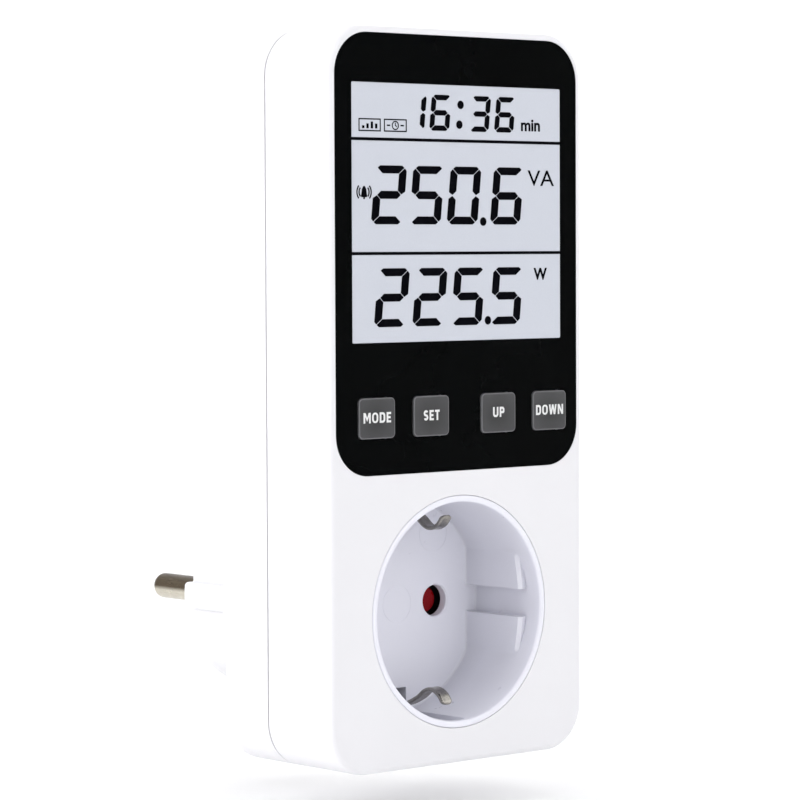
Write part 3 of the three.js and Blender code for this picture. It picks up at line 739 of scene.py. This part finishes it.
def build_badges():
    """Two framed signs beside the clock: a small bar chart and a small clock face between dashes."""
    low, high = 86.1, 88.15
    signs = [stroke_patch([(left, low), (right, low), (right, high), (left, high)], 0.22, True)
             for left, right in ((-23.57, -18.66), (-17.69, -12.57))]
    signs += [stroke_patch([(x, 86.5), (x, top)], 0.52) for x, top in
              ((-22.6, 87.0), (-21.6, 87.35), (-20.6, 87.7), (-19.6, 87.35))]
    x, z = -15.13, 87.12
    signs.append(stroke_patch(circle(0.72, x, z, 24), 0.2, True))
    signs.append(stroke_patch([(x, z + 0.48), (x, z), (x + 0.38, z - 0.22)], 0.18))
    signs += [stroke_patch([(start, z), (start + 0.75, z)], 0.26) for start in (-17.1, -13.9)]
    finish_piece(join_all("display_badges", signs), "display_badges", INK)


def build_alarm_icon():
    """A bell with two sound waves on each side."""
    middle = -22.48
    side = [(0.78, 74.45), (0.62, 75.0), (0.5, 75.9)]
    dome = [(middle - x, z) for x, z in side] + [(middle, 76.65)]
    dome += [(middle + x, z) for x, z in reversed(side)]
    bell = [ink_patch(dome, 0.25), dot_patch(middle, 74.3, 0.2)]
    for centre in (180, 0):
        for reach in (1.15, 1.65):
            wave = arc(reach, centre - 42, centre + 42, 10, middle, 75.35)
            bell.append(stroke_patch(wave, 0.27))
    finish_piece(join_all("alarm_icon", bell), "alarm_icon", INK)


def build_unit(name, text, box, bold):
    """Printed letters that fill a box (x0, x1, z0, z1) on the display."""
    curve = bpy.data.curves.new(name, "FONT")
    curve.body = text
    curve.resolution_u = 6
    curve.offset = bold
    letters = into_scene(name, curve)
    graph = bpy.context.evaluated_depsgraph_get()
    mesh = bpy.data.meshes.new_from_object(letters.evaluated_get(graph))
    bpy.data.objects.remove(letters)
    work = bmesh.new()
    work.from_mesh(mesh)
    bmesh.ops.remove_doubles(work, verts=work.verts, dist=1e-5)
    bmesh.ops.dissolve_limit(work, angle_limit=0.02, verts=work.verts, edges=work.edges)
    face_up = bmesh.ops.extrude_face_region(work, geom=work.faces[:])
    low_x, high_x = min(v.co.x for v in work.verts), max(v.co.x for v in work.verts)
    low_y, high_y = min(v.co.y for v in work.verts), max(v.co.y for v in work.verts)
    for vertex in work.verts:
        x = box[0] + (vertex.co.x - low_x) / (high_x - low_x) * (box[1] - box[0])
        z = box[2] + (vertex.co.y - low_y) / (high_y - low_y) * (box[3] - box[2])
        vertex.co = Vector((x, FRONT + CELL_FACE, z)) * MM
    for vertex in face_up["geom"]:
        if isinstance(vertex, bmesh.types.BMVert):
            vertex.co.y -= (PRINT_HEIGHT + PRINT_SINK) * MM
    bmesh.ops.recalc_face_normals(work, faces=work.faces)
    work.to_mesh(mesh)
    work.free()
    finish_piece(into_scene(name, mesh), name, INK)


def build_units():
    build_unit("unit_clock", "min", (15.33, 20.08, 86.72, 88.87), 0.025)
    build_unit("unit_upper", "VA", (16.96, 23.61, 76.77, 79.62), 0.0)
    build_unit("unit_lower", "W", (18.4, 21.75, 59.6, 61.8), 0.03)


# ---- keys ------------------------------------------------------------------------------------------
CAPTION_WIDTH = {"mode": 6.4, "set": 3.8, "up": 2.8, "down": 6.9}
CAPTION_HEIGHT = 1.85
STEM = 0.38
LETTER_WIDTH = {"D": 1.02, "E": 0.80, "M": 1.30, "N": 1.10, "O": 1.12, "P": 0.90, "S": 0.86, "T": 0.88,
                "U": 1.02, "W": 1.56}
LETTER_GAP = 0.26


def straight_letter(letter, width, height):
    """The outline of a capital that has only straight strokes."""
    stem, middle, half = STEM, width / 2, height / 2
    left, right = 0.27 * width, 0.73 * width
    return {
        "E": [(0, 0), (width, 0), (width, stem), (stem, stem), (stem, half - stem / 2),
              (0.9 * width, half - stem / 2), (0.9 * width, half + stem / 2), (stem, half + stem / 2),
              (stem, height - stem), (width, height - stem), (width, height), (0, height)],
        "M": [(0, 0), (stem, 0), (stem, height - 1.7 * stem), (middle, 0.16 * height),
              (width - stem, height - 1.7 * stem), (width - stem, 0), (width, 0), (width, height),
              (width - 1.2 * stem, height), (middle, 0.16 * height + 1.7 * stem), (1.2 * stem, height),
              (0, height)],
        "N": [(0, 0), (stem, 0), (stem, height - 1.8 * stem), (width - 1.1 * stem, 0), (width, 0),
              (width, height), (width - stem, height), (width - stem, 1.8 * stem), (1.1 * stem, height),
              (0, height)],
        "T": [(middle - stem / 2, 0), (middle + stem / 2, 0), (middle + stem / 2, height - stem),
              (width, height - stem), (width, height), (0, height), (0, height - stem),
              (middle - stem / 2, height - stem)],
        "W": [(0, height), (left - 0.5 * stem, 0), (left + 0.5 * stem, 0), (middle, 0.6 * height),
              (right - 0.5 * stem, 0), (right + 0.5 * stem, 0), (width, height), (width - stem, height),
              (right, 0.4 * height), (middle + 0.45 * stem, height), (middle - 0.45 * stem, height),
              (left, 0.4 * height), (stem, height)],
    }[letter]


def round_letter(letter, width, height):
    """The outline of a capital with a bow, and the outline of the hole in it, if it has one."""
    stem, bow = STEM, 0.46 * width
    inner_bow = bow - 0.8 * stem
    if letter == "O":
        hole = rounded_box(stem, width - stem, 0.85 * stem, height - 0.85 * stem, inner_bow, 5)
        return rounded_box(0, width, 0, height, bow, 7), hole
    if letter == "D":
        outer = rounded([(0, 0), (width, 0, bow), (width, height, bow), (0, height)], 7)
        hole = rounded([(stem, stem), (width - stem, stem, inner_bow),
                        (width - stem, height - stem, inner_bow), (stem, height - stem)], 5)
        return outer, hole
    if letter == "P":
        foot = 0.36 * height
        outer = rounded([(0, 0), (stem, 0), (stem, foot), (width, foot, bow), (width, height, bow),
                         (0, height)], 7)
        hole = rounded([(stem, foot + stem), (width - stem, foot + stem, 0.3 * stem),
                        (width - stem, height - stem, 0.3 * stem), (stem, height - stem)], 4)
        return outer, hole
    if letter == "U":
        outer = rounded([(0, height), (0, 0, bow), (width, 0, bow), (width, height), (width - stem, height),
                         (width - stem, stem, inner_bow), (stem, stem, inner_bow), (stem, height)], 7)
        return outer, None
    reach, lift = (width - stem) / 2, (height - stem) / 4
    low, high = stem / 2 + lift, height - stem / 2 - lift
    spine = [Vector((width / 2 + reach * p.x, high + lift * p.y)) for p in arc(1, 25, 270, 14)]
    spine += [Vector((width / 2 + reach * p.x, low + lift * p.y)) for p in arc(1, 90, -155, 14)[1:]]
    left, right = stroke_sides(spine, stem)
    return right + left[::-1], None


def build_caption(name, text, middle, base, front, back):
    """White capitals lying on a key, made one by one from their outlines."""
    natural = sum(LETTER_WIDTH[letter] for letter in text) + LETTER_GAP * (len(text) - 1)
    squeeze = CAPTION_WIDTH[name] / natural
    pen = middle - CAPTION_WIDTH[name] / 2
    made = []
    for letter in text:
        width = LETTER_WIDTH[letter] * squeeze
        if letter in "EMNTW":
            outline, hole = [Vector(p) for p in straight_letter(letter, width, CAPTION_HEIGHT)], None
        else:
            outline, hole = round_letter(letter, width, CAPTION_HEIGHT)
        shift = Vector((pen, base))
        shape = slab("letter", [p + shift for p in outline], front, back)
        if hole:
            carve(shape, slab("cutter", [p + shift for p in hole], front - 1, back + 1))
        made.append(shape)
        pen += width + LETTER_GAP * squeeze
    finish_piece(join_all("caption", made), f"key_caption_{name}", CAPTION, f"key_{name}")


def build_keys():
    rim_width, overlap, step = 0.2, 0.03, 0.02
    skirt = KEY_FLANGE - 0.05
    for name, text in KEYS.items():
        node = f"button_{name}"
        low, high = box_mm(node)
        front, back = low.y - FRONT, high.y - FRONT
        outline = key_outline(name)
        cap = slab("cap", inset(outline, rim_width - overlap), front + step, back - skirt, 0.05)
        weld(cap, slab("flange", key_outline(name, KEY_FLANGE), back - 0.9, back, 0.1, 0.1))
        finish_piece(cap, f"key_cap_{name}", KEY, f"key_{name}", [node])
        rim = carve(slab("rim", outline, front, back - 0.9, 0.14),
                    slab("cutter", inset(outline, rim_width), front - 1, back + 1))
        finish_piece(rim, f"key_rim_{name}", KEY_RIM, f"key_{name}")
        middle, base = (low.x + high.x) / 2, (low.z + high.z) / 2 - 0.8
        build_caption(name, text, middle, base, front - 0.01, front + 0.06)


# ---- socket ----------------------------------------------------------------------------------------
def degrees_at(radius, offset):
    return math.degrees(math.asin(offset / radius))


def well_section():
    """The well's outline as (x, z, on_guide): a circle with a flat, split guide on each side."""
    radius, chord, channel = WELL["radius"], WELL["chord"], WELL["channel"]
    chord_z = math.sqrt(radius ** 2 - chord ** 2)
    corner = math.degrees(math.atan2(chord_z, chord))
    upper = [(p.x, p.y, False) for p in arc(radius, 0, degrees_at(radius, channel), 4)]
    upper += [(chord, channel + (chord_z - channel) * k / 14, True) for k in range(15)]
    upper += [(p.x, p.y, False) for p in arc(radius, corner, 90, 24)[1:]]
    half = upper + [(-x, z, guide) for x, z, guide in reversed(upper[:-1])]
    return half + [(-x, -z, guide) for x, z, guide in half[1:-1]]


def well_cavity():
    """The space in the well: a flared mouth, the guides' sloped and bevelled fronts and a rounded floor."""
    radius, front, depth = WELL["radius"], WELL["guide"], WELL["depth"]
    crest, drop, bevel, floor_round = 17.95, 1.0, 0.6, 0.5
    section = well_section()
    outline = [Vector((x, z)) for x, z, _ in section]
    wall = [Vector((math.copysign(math.sqrt(radius ** 2 - z ** 2), x), z)) if guide else Vector((x, z))
            for x, z, guide in section]
    brow = [Vector((math.copysign(min(crest, abs(w.x)), w.x), w.y)) if guide else w
            for w, (_, _, guide) in zip(wall, section)]
    start = [front + drop * max(0, (p.length - crest) / (radius - crest)) for p in brow]
    mouth = ((0.9, -0.6), (0.30, 0.0), (0.12, 0.10), (0.03, 0.25), (0, 0.5), (0, front + drop))
    rings = [at_depth([w * (radius + flare) / radius for w in wall], at) for flare, at in mouth]
    rings.append([(p.x, FRONT + at + 0.05, p.y) for p, at in zip(brow, start)])
    rings.append([(p.x, FRONT + at + bevel, p.y) for p, at in zip(outline, start)])
    rings += [at_depth(inset(outline, i), depth - d) for i, d in reversed(fillet_steps(floor_round))]
    floor = inset(outline, floor_round)
    for shrink in (0.86, 0.72, 0.58, 0.44, 0.3, 0.16, 0.05):
        rings.append(at_depth([p * shrink for p in floor], depth))
    return loft("cutter", rings)


def above_and_below(half_width, front, back, z0, z1):
    """Two equal blocks, one above the socket's axis and one below it."""
    return [block(-half_width, half_width, front, back, z0, z1),
            block(-half_width, half_width, front, back, -z1, -z0)]


def build_socket():
    rim, depth = WELL["rim"], WELL["depth"]
    back = depth + WELL["floor"]
    flange, pocket_radius = 22.8, 13.2
    lip = [(rim - 0.35, 0.0), (rim - 0.12, 0.04), (rim - 0.03, 0.12), (rim, 0.3)]
    skirt = [(rim, 2.9), (flange, 2.9), (flange, 4.4), (rim, 4.4), (rim, back)]
    cup = turned("socket_cup", [(12, 0.0)] + lip + skirt, segments=160)
    grooves = above_and_below(EARTH["slot"], 1.2, back + 1, EARTH["inner"], EARTH["outer"])
    ribs = above_and_below(3.4, 4.6, back - 0.1, 19, 22)
    holes = [pit(circle(PIN_HOLE, x, 0, 64), depth, back + 1, 0.25) for x in (-PIN_X, PIN_X)]
    pocket = turned("cutter", [(pocket_radius, depth + 1.8), (pocket_radius, back + 1)])
    weld(cup, *ribs)
    carve(cup, well_cavity())
    carve(cup, *grooves, *holes, *floor_marks(depth), pocket)
    finish_piece(cup, "socket_well", INSERT_WHITE, replaces=["socket_insert"])


def floor_marks(depth):
    """Shallow rings that the mould's ejectors left on the floor."""
    rings = []
    for x, z, radius, width in ((0, 0, 3.5, 0.14), (9, 12.5, 3.4, 0.1), (-9, -12.5, 3.4, 0.1)):
        core = radius - width
        rings.append(carve(turned("cutter", [(radius, depth - 0.3), (radius, depth + 0.06)], x, z, 72),
                           turned("cutter", [(core, depth - 1), (core, depth + 1)], x, z, 72)))
    return rings


def build_shutter():
    front, back = SHUTTER_LOW.y - FRONT, SHUTTER_HIGH.y - FRONT
    lobe, arm, pivot, hub, edge = 2.4, 1.7, 1.9, 4.4, 0.3
    half_angle = degrees_at(lobe, arm)
    right = arc(lobe, -180 + half_angle, 180 - half_angle, 40, PIN_X, 0)
    left = arc(lobe, half_angle, 360 - half_angle, 40, -PIN_X, 0)
    blade = slab("blade", right + left, front, back, 0.25, 0.25)
    profile = [(hub - edge, front), (hub - 0.1, front + 0.08), (hub, front + edge), (hub, back - edge)]
    weld(blade, turned("hub", profile + [(hub - edge, back)]))
    carve(blade, turned("cutter", [(pivot, front - 1), (pivot, back + 1)], segments=48))
    finish_piece(blade, "shutter_blade", SHUTTER_RED, "shutter", ["shutter"])


CLIP_LINE = [(24.8, 17.7), (20.5, 17.7), (17, 18.3), (14.2, 18), (11, 16.6), (8.8, 15.1), (7, 14.7),
             (5.2, 15.4), (4.1, 16.6)]


def smooth_line(points, per_span=8):
    """A Catmull-Rom curve through (depth, z) points."""
    path = []
    ends = [points[0]] + list(points) + [points[-1]]
    for i in range(len(points) - 1):
        a, b, c, d = (Vector(p) for p in ends[i:i + 4])
        for k in range(per_span):
            t = k / per_span
            path.append(0.5 * (2 * b + (c - a) * t + (2 * a - 5 * b + 4 * c - d) * t * t
                               + (3 * b - a - 3 * c + d) * t * t * t))
    path.append(Vector(points[-1]))
    return path


def swept_strip(name, line, half_width, half_thick, round_end):
    """A strip with rounded edges swept along (depth, z) points; its last stretch rounds off."""
    section = []
    for cos, sin in circle(1, segments=40):
        across = math.copysign(abs(cos) ** 0.55, cos)
        dish = 0.62 + 0.38 * across ** 2
        section.append((half_width * across, half_thick * dish * math.copysign(abs(sin) ** 0.7, sin)))
    rings = []
    for i, point in enumerate(line):
        along = (line[min(i + 1, len(line) - 1)] - line[max(i - 1, 0)]).normalized()
        normal = Vector((-along.y, along.x))
        rings.append([(u, FRONT + point.x + normal.x * v, point.y + normal.y * v) for u, v in section])
    along = (line[-1] - line[-2]).normalized()
    normal = Vector((-along.y, along.x))
    for k in range(1, 6):
        turn = math.pi / 2 * k / 5.5
        end = line[-1] + along * round_end * math.sin(turn)
        rise = normal * math.cos(turn)
        narrow = 0.1 + 0.9 * math.cos(turn)
        rings.append([(u * narrow, FRONT + end.x + rise.x * v, end.y + rise.y * v) for u, v in section])
    return loft(name, rings)


def build_earth_clips():
    for side, word in ((1, "top"), (-1, "bottom")):
        node = f"earth_clip_{word}"
        line = [Vector((p.x, p.y * side)) for p in smooth_line(CLIP_LINE)]
        clip = swept_strip("clip", line, 1.3, 0.48, 0.8)
        finish_piece(clip, f"earth_spring_{word}", CLIP_METAL, node, [node])


# ---- plug ------------------------------------------------------------------------------------------
def boss_outline():
    """The plug's section: a circle with a flat at each side, and a rib down the middle of each flat."""
    radius, chord, rib = BOSS["radius"], BOSS["chord"], BOSS["rib"]
    chord_z = math.sqrt(radius ** 2 - chord ** 2)
    chord_angle = math.degrees(math.atan2(chord_z, chord))
    rib_x = math.sqrt(radius ** 2 - rib ** 2)
    rib_angle = degrees_at(radius, rib)
    points = []
    for half, sign in ((0, 1), (180, -1)):
        points += arc(radius, half - rib_angle + 4, half + rib_angle - 4, 6)
        corners = [(rib_x, rib, 1.0), (chord, rib, 0.3), (chord, chord_z, 1.0)]
        points += [(sign * x, sign * z, corner) for x, z, corner in corners]
        points += arc(radius, half + chord_angle + 2, half + 178 - chord_angle, 64)
        points += [(-sign * x, sign * z, corner) for x, z, corner in reversed(corners)]
    return rounded(points, 4)


def build_boss():
    """The plug's white body, with seats for its pins and cuts for its earth clips."""
    foot, start = PLUG_LOW.y - FRONT, PLINTH_BACK + 1.5
    shoulder = foot + 2.2
    boss = turned("plug_boss", [(21.4, foot), (21.4, shoulder), (BOSS["radius"], shoulder),
                                (BOSS["radius"], start + 0.3)], segments=128)
    weld(boss, slab("nose", boss_outline(), start, PLUG_FACE, 0, 0.9))
    clip_cuts = above_and_below(3.2, 39.9, PLUG_FACE - 1.8, 16.05, 30)
    pin_seats = [pit(circle(PIN_RADIUS + 0.05, x, 0, 48), PLUG_FACE, PLUG_FACE - 3, 0.2)
                 for x in (-PIN_X, PIN_X)]
    core_marks = [pit(circle(1.6, 0, z, 40), PLUG_FACE, PLUG_FACE - 0.6, 0.15) for z in (-9.5, 9.5)]
    hollow = turned("cutter", [(13.7, 30), (13.7, PLUG_FACE - 3.4)])
    carve(boss, hollow, *clip_cuts, *pin_seats, *core_marks)
    finish_piece(boss, "plug_boss", WHITE, replaces=["plug_body"])


def build_pins():
    """Two round pins with domed tips, each with a collar and a thin root inside the boss."""
    root, collar, dome = 1.6, 3.4, 2.0
    stem = [(root, 46), (root, 53), (collar, 53), (collar, 54.4), (PIN_RADIUS, 54.4)]
    tip = [(PIN_RADIUS * math.cos(t), PIN_TIP - dome + dome * math.sin(t)) for t in quarter(9)[:-1]]
    for node, x in (("line_pin", -PIN_X), ("neutral_pin", PIN_X)):
        pin = turned("pin", stem + tip + [(0.12, PIN_TIP)], x, 0, 64)
        finish_piece(pin, f"plug_{node}", PIN_NICKEL, replaces=[node])


def build_plug_clips():
    floor, crest = 16.65, 17.7
    knots = [(34.4, floor), (41, floor), (44, floor + 0.2), (47.5, crest), (52, crest), (54.9, floor + 0.1)]
    for side, word in ((1, "top"), (-1, "bottom")):
        line = [Vector((p.x, p.y * side)) for p in smooth_line(knots)]
        clip = swept_strip("clip", line, 2.9, 0.5, 0.35)
        finish_piece(clip, f"plug_contact_{word}", NICKEL, replaces=[f"plug_earth_clip_{word}"])


# ---- screws and what stays as CAD ------------------------------------------------------------------
def build_case_screws():
    shank, head, head_height, slot, slot_depth = 1.4, 2.6, 1.82, 0.3, 1.0
    for number, (x, z) in enumerate(screw_places(), 1):
        node = f"case_screw_{number}"
        low, high = box_mm(node)
        tip, top = low.y - FRONT, high.y - FRONT
        seat = top - head_height
        screw = turned("screw", [(0.6, tip), (shank, tip + shank), (shank, seat), (head - 0.15, seat),
                                 (head, seat + 0.15), (head, seat + 0.9), (2.35, seat + 1.35),
                                 (1.8, seat + 1.7), (1.1, top)], x, z, 48)
        carve(screw, *[block(x - w, x + w, top - slot_depth, top + 1, z - h, z + h)
                       for w, h in ((1.6, slot), (slot, 1.6))])
        finish_piece(screw, f"screw_{number}", STEEL, replaces=[node])


KEPT_LOOKS = [
    (LIGHT_GUIDE, ["lcd_backlight"]),
    (INSERT_WHITE, ["lcd_bracket"]),
    (ZEBRA, ["lcd_connector"]),
    (BOARD, ["display_board", "power_board"]),
    (BRASS, ["line_contact", "neutral_contact"]),
    (COPPER, ["line_feed_bar", "neutral_feed_bar", "shunt"]),
    (NICKEL, ["earth_strap"]),
    (WIRE_COVER, ["line_return_wire"]),
    (YELLOW_PART, ["x2_capacitor"]),
    (BLUE_PART, ["filter_capacitor", "varistor"]),
    (CERAMIC, ["fuse"]),
    (BLACK_PART, ["contact_carrier", "metering_chip", "microcontroller", "board_connector", "buzzer"]
     + [f"{stem}_{name}" for stem in ("plunger", "switch") for name in KEYS]),
    (STEEL, ["shutter_spring", "crystal", "backup_cell", "display_screw_1", "display_screw_2",
             "display_screw_3", "carrier_screw_1", "carrier_screw_2", "power_screw_1", "power_screw_2"]),
]


def dress_kept_nodes():
    for look, nodes in KEPT_LOOKS:
        for node in nodes:
            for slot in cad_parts[node].material_slots:
                slot.material = look


# ---- studio ----------------------------------------------------------------------------------------
FLOOR_GAP = 9
PAPER = (0.93, 0.93, 0.935)


def studio_paper():
    """White backdrop paper, a touch uneven and faintly lit from within."""
    made, tree, bsdf = start_material("studio_paper")
    tone = remap(tree, noise(tree, millimetre_space(tree), 0.004, 2), 0, 1)
    link(mix_colours(tree, tone, shade(PAPER, 0.995), PAPER), bsdf.inputs["Base Color"])
    dial(bsdf, {"Roughness": 0.8, "Specular IOR Level": 0.1, "Emission Color": (1, 1, 1, 1),
                "Emission Strength": 0.104})
    return made


def build_floor():
    """A pale round sweep: a floor a little below the meter that curves up into a wall on every side."""
    level = cad_bounds[0].z / MM - FLOOR_GAP
    reach, bend, height, around = 1300, 600, 2300, 96
    profile = [(1, level), (400, level), (reach, level)]
    profile += [(reach + bend * math.sin(t), level + bend * (1 - math.cos(t))) for t in quarter(24)[1:]]
    profile.append((reach + bend, level + height))
    vertices = [(x, y, z) for radius, z in profile for x, y in circle(radius, segments=around)]
    faces = [tuple(range(around))]
    for ring in range(len(profile) - 1):
        for i in range(around):
            a, b = ring * around + i, ring * around + (i + 1) % around
            faces.append((a, b, b + around, a + around))
    sweep = new_object("studio_sweep", vertices, faces)
    sweep.data.shade_smooth()
    sweep.data.materials.append(studio_paper())


def area_light(name, place, size, power, glossy=True, target=(0, -0.04, 0.035)):
    data = bpy.data.lights.new(name, "AREA")
    data.shape = "RECTANGLE"
    data.size, data.size_y = size
    data.energy = power
    lamp = into_scene(name, data)
    lamp.location = Vector(place)
    lamp.rotation_euler = (Vector(target) - Vector(place)).to_track_quat("-Z", "Y").to_euler()
    lamp.visible_camera = False
    lamp.visible_glossy = glossy


def build_lights():
    """Soft panels round the meter, in metres, and one that washes the wall behind it."""
    area_light("left_back", (-1.0, 0.7, 0.3), (0.9, 0.9), 1.2, glossy=False)
    area_light("left_side", (-1.2, 0.1, 0.45), (0.8, 0.9), 6.4, glossy=False)
    area_light("right_card", (1.15, 0.3, 0.35), (1.0, 1.0), 0.25)
    area_light("front_soft", (0.15, -1.2, 0.6), (1.2, 0.9), 0.75)
    area_light("front_high", (0.0, -0.9, 1.1), (1.0, 0.8), 0.8)
    area_light("front_top", (0.1, -0.5, 1.6), (1.1, 0.7), 2.2, glossy=False)
    area_light("right_high", (0.95, -0.85, 0.95), (0.8, 0.8), 2.9)
    area_light("top_soft", (0.0, 0.0, 2.0), (2.0, 2.0), 9.8, glossy=False)
    area_light("back_wash", (0.0, 0.5, 1.7), (2.2, 0.8), 11.8, target=(0.0, 1.9, 0.5))
    world = bpy.data.worlds.new("studio_world")
    world.use_nodes = True
    dial(world.node_tree.nodes["Background"], {"Color": (0.97, 0.98, 1.0, 1), "Strength": 0.02})
    bpy.context.scene.world = world


def build_camera():
    """A long lens, 41 degrees to the left of the face and a little above the middle."""
    distance = 596.4
    yaw, pitch, roll = (math.radians(a) for a in (41.33, -2.57, -0.25))
    forward = Vector((math.sin(yaw) * math.cos(pitch), math.cos(yaw) * math.cos(pitch), math.sin(pitch)))
    aim = Vector((-14.36, FRONT, 38.66))
    data = bpy.data.cameras.new("camera")
    data.lens = 151.6
    data.sensor_width = 36
    data.clip_start = 0.02
    camera = into_scene("camera", data)
    turn = forward.to_track_quat("-Z", "Y").to_matrix().to_4x4() @ Matrix.Rotation(roll, 4, "Z")
    camera.matrix_world = Matrix.Translation((aim - forward * distance) * MM) @ turn
    bpy.context.scene.camera = camera


def build_meter():
    build_front_shell()
    build_rear_shell()
    build_lens()
    build_cell()
    build_readings()
    build_separators()
    build_badges()
    build_alarm_icon()
    build_units()
    build_keys()
    build_socket()
    build_shutter()
    build_earth_clips()
    build_boss()
    build_pins()
    build_plug_clips()
    build_case_screws()
    dress_kept_nodes()


build_camera()
build_meter()
build_floor()
build_lights()
bpy.context.scene.view_settings.view_transform = "Standard"
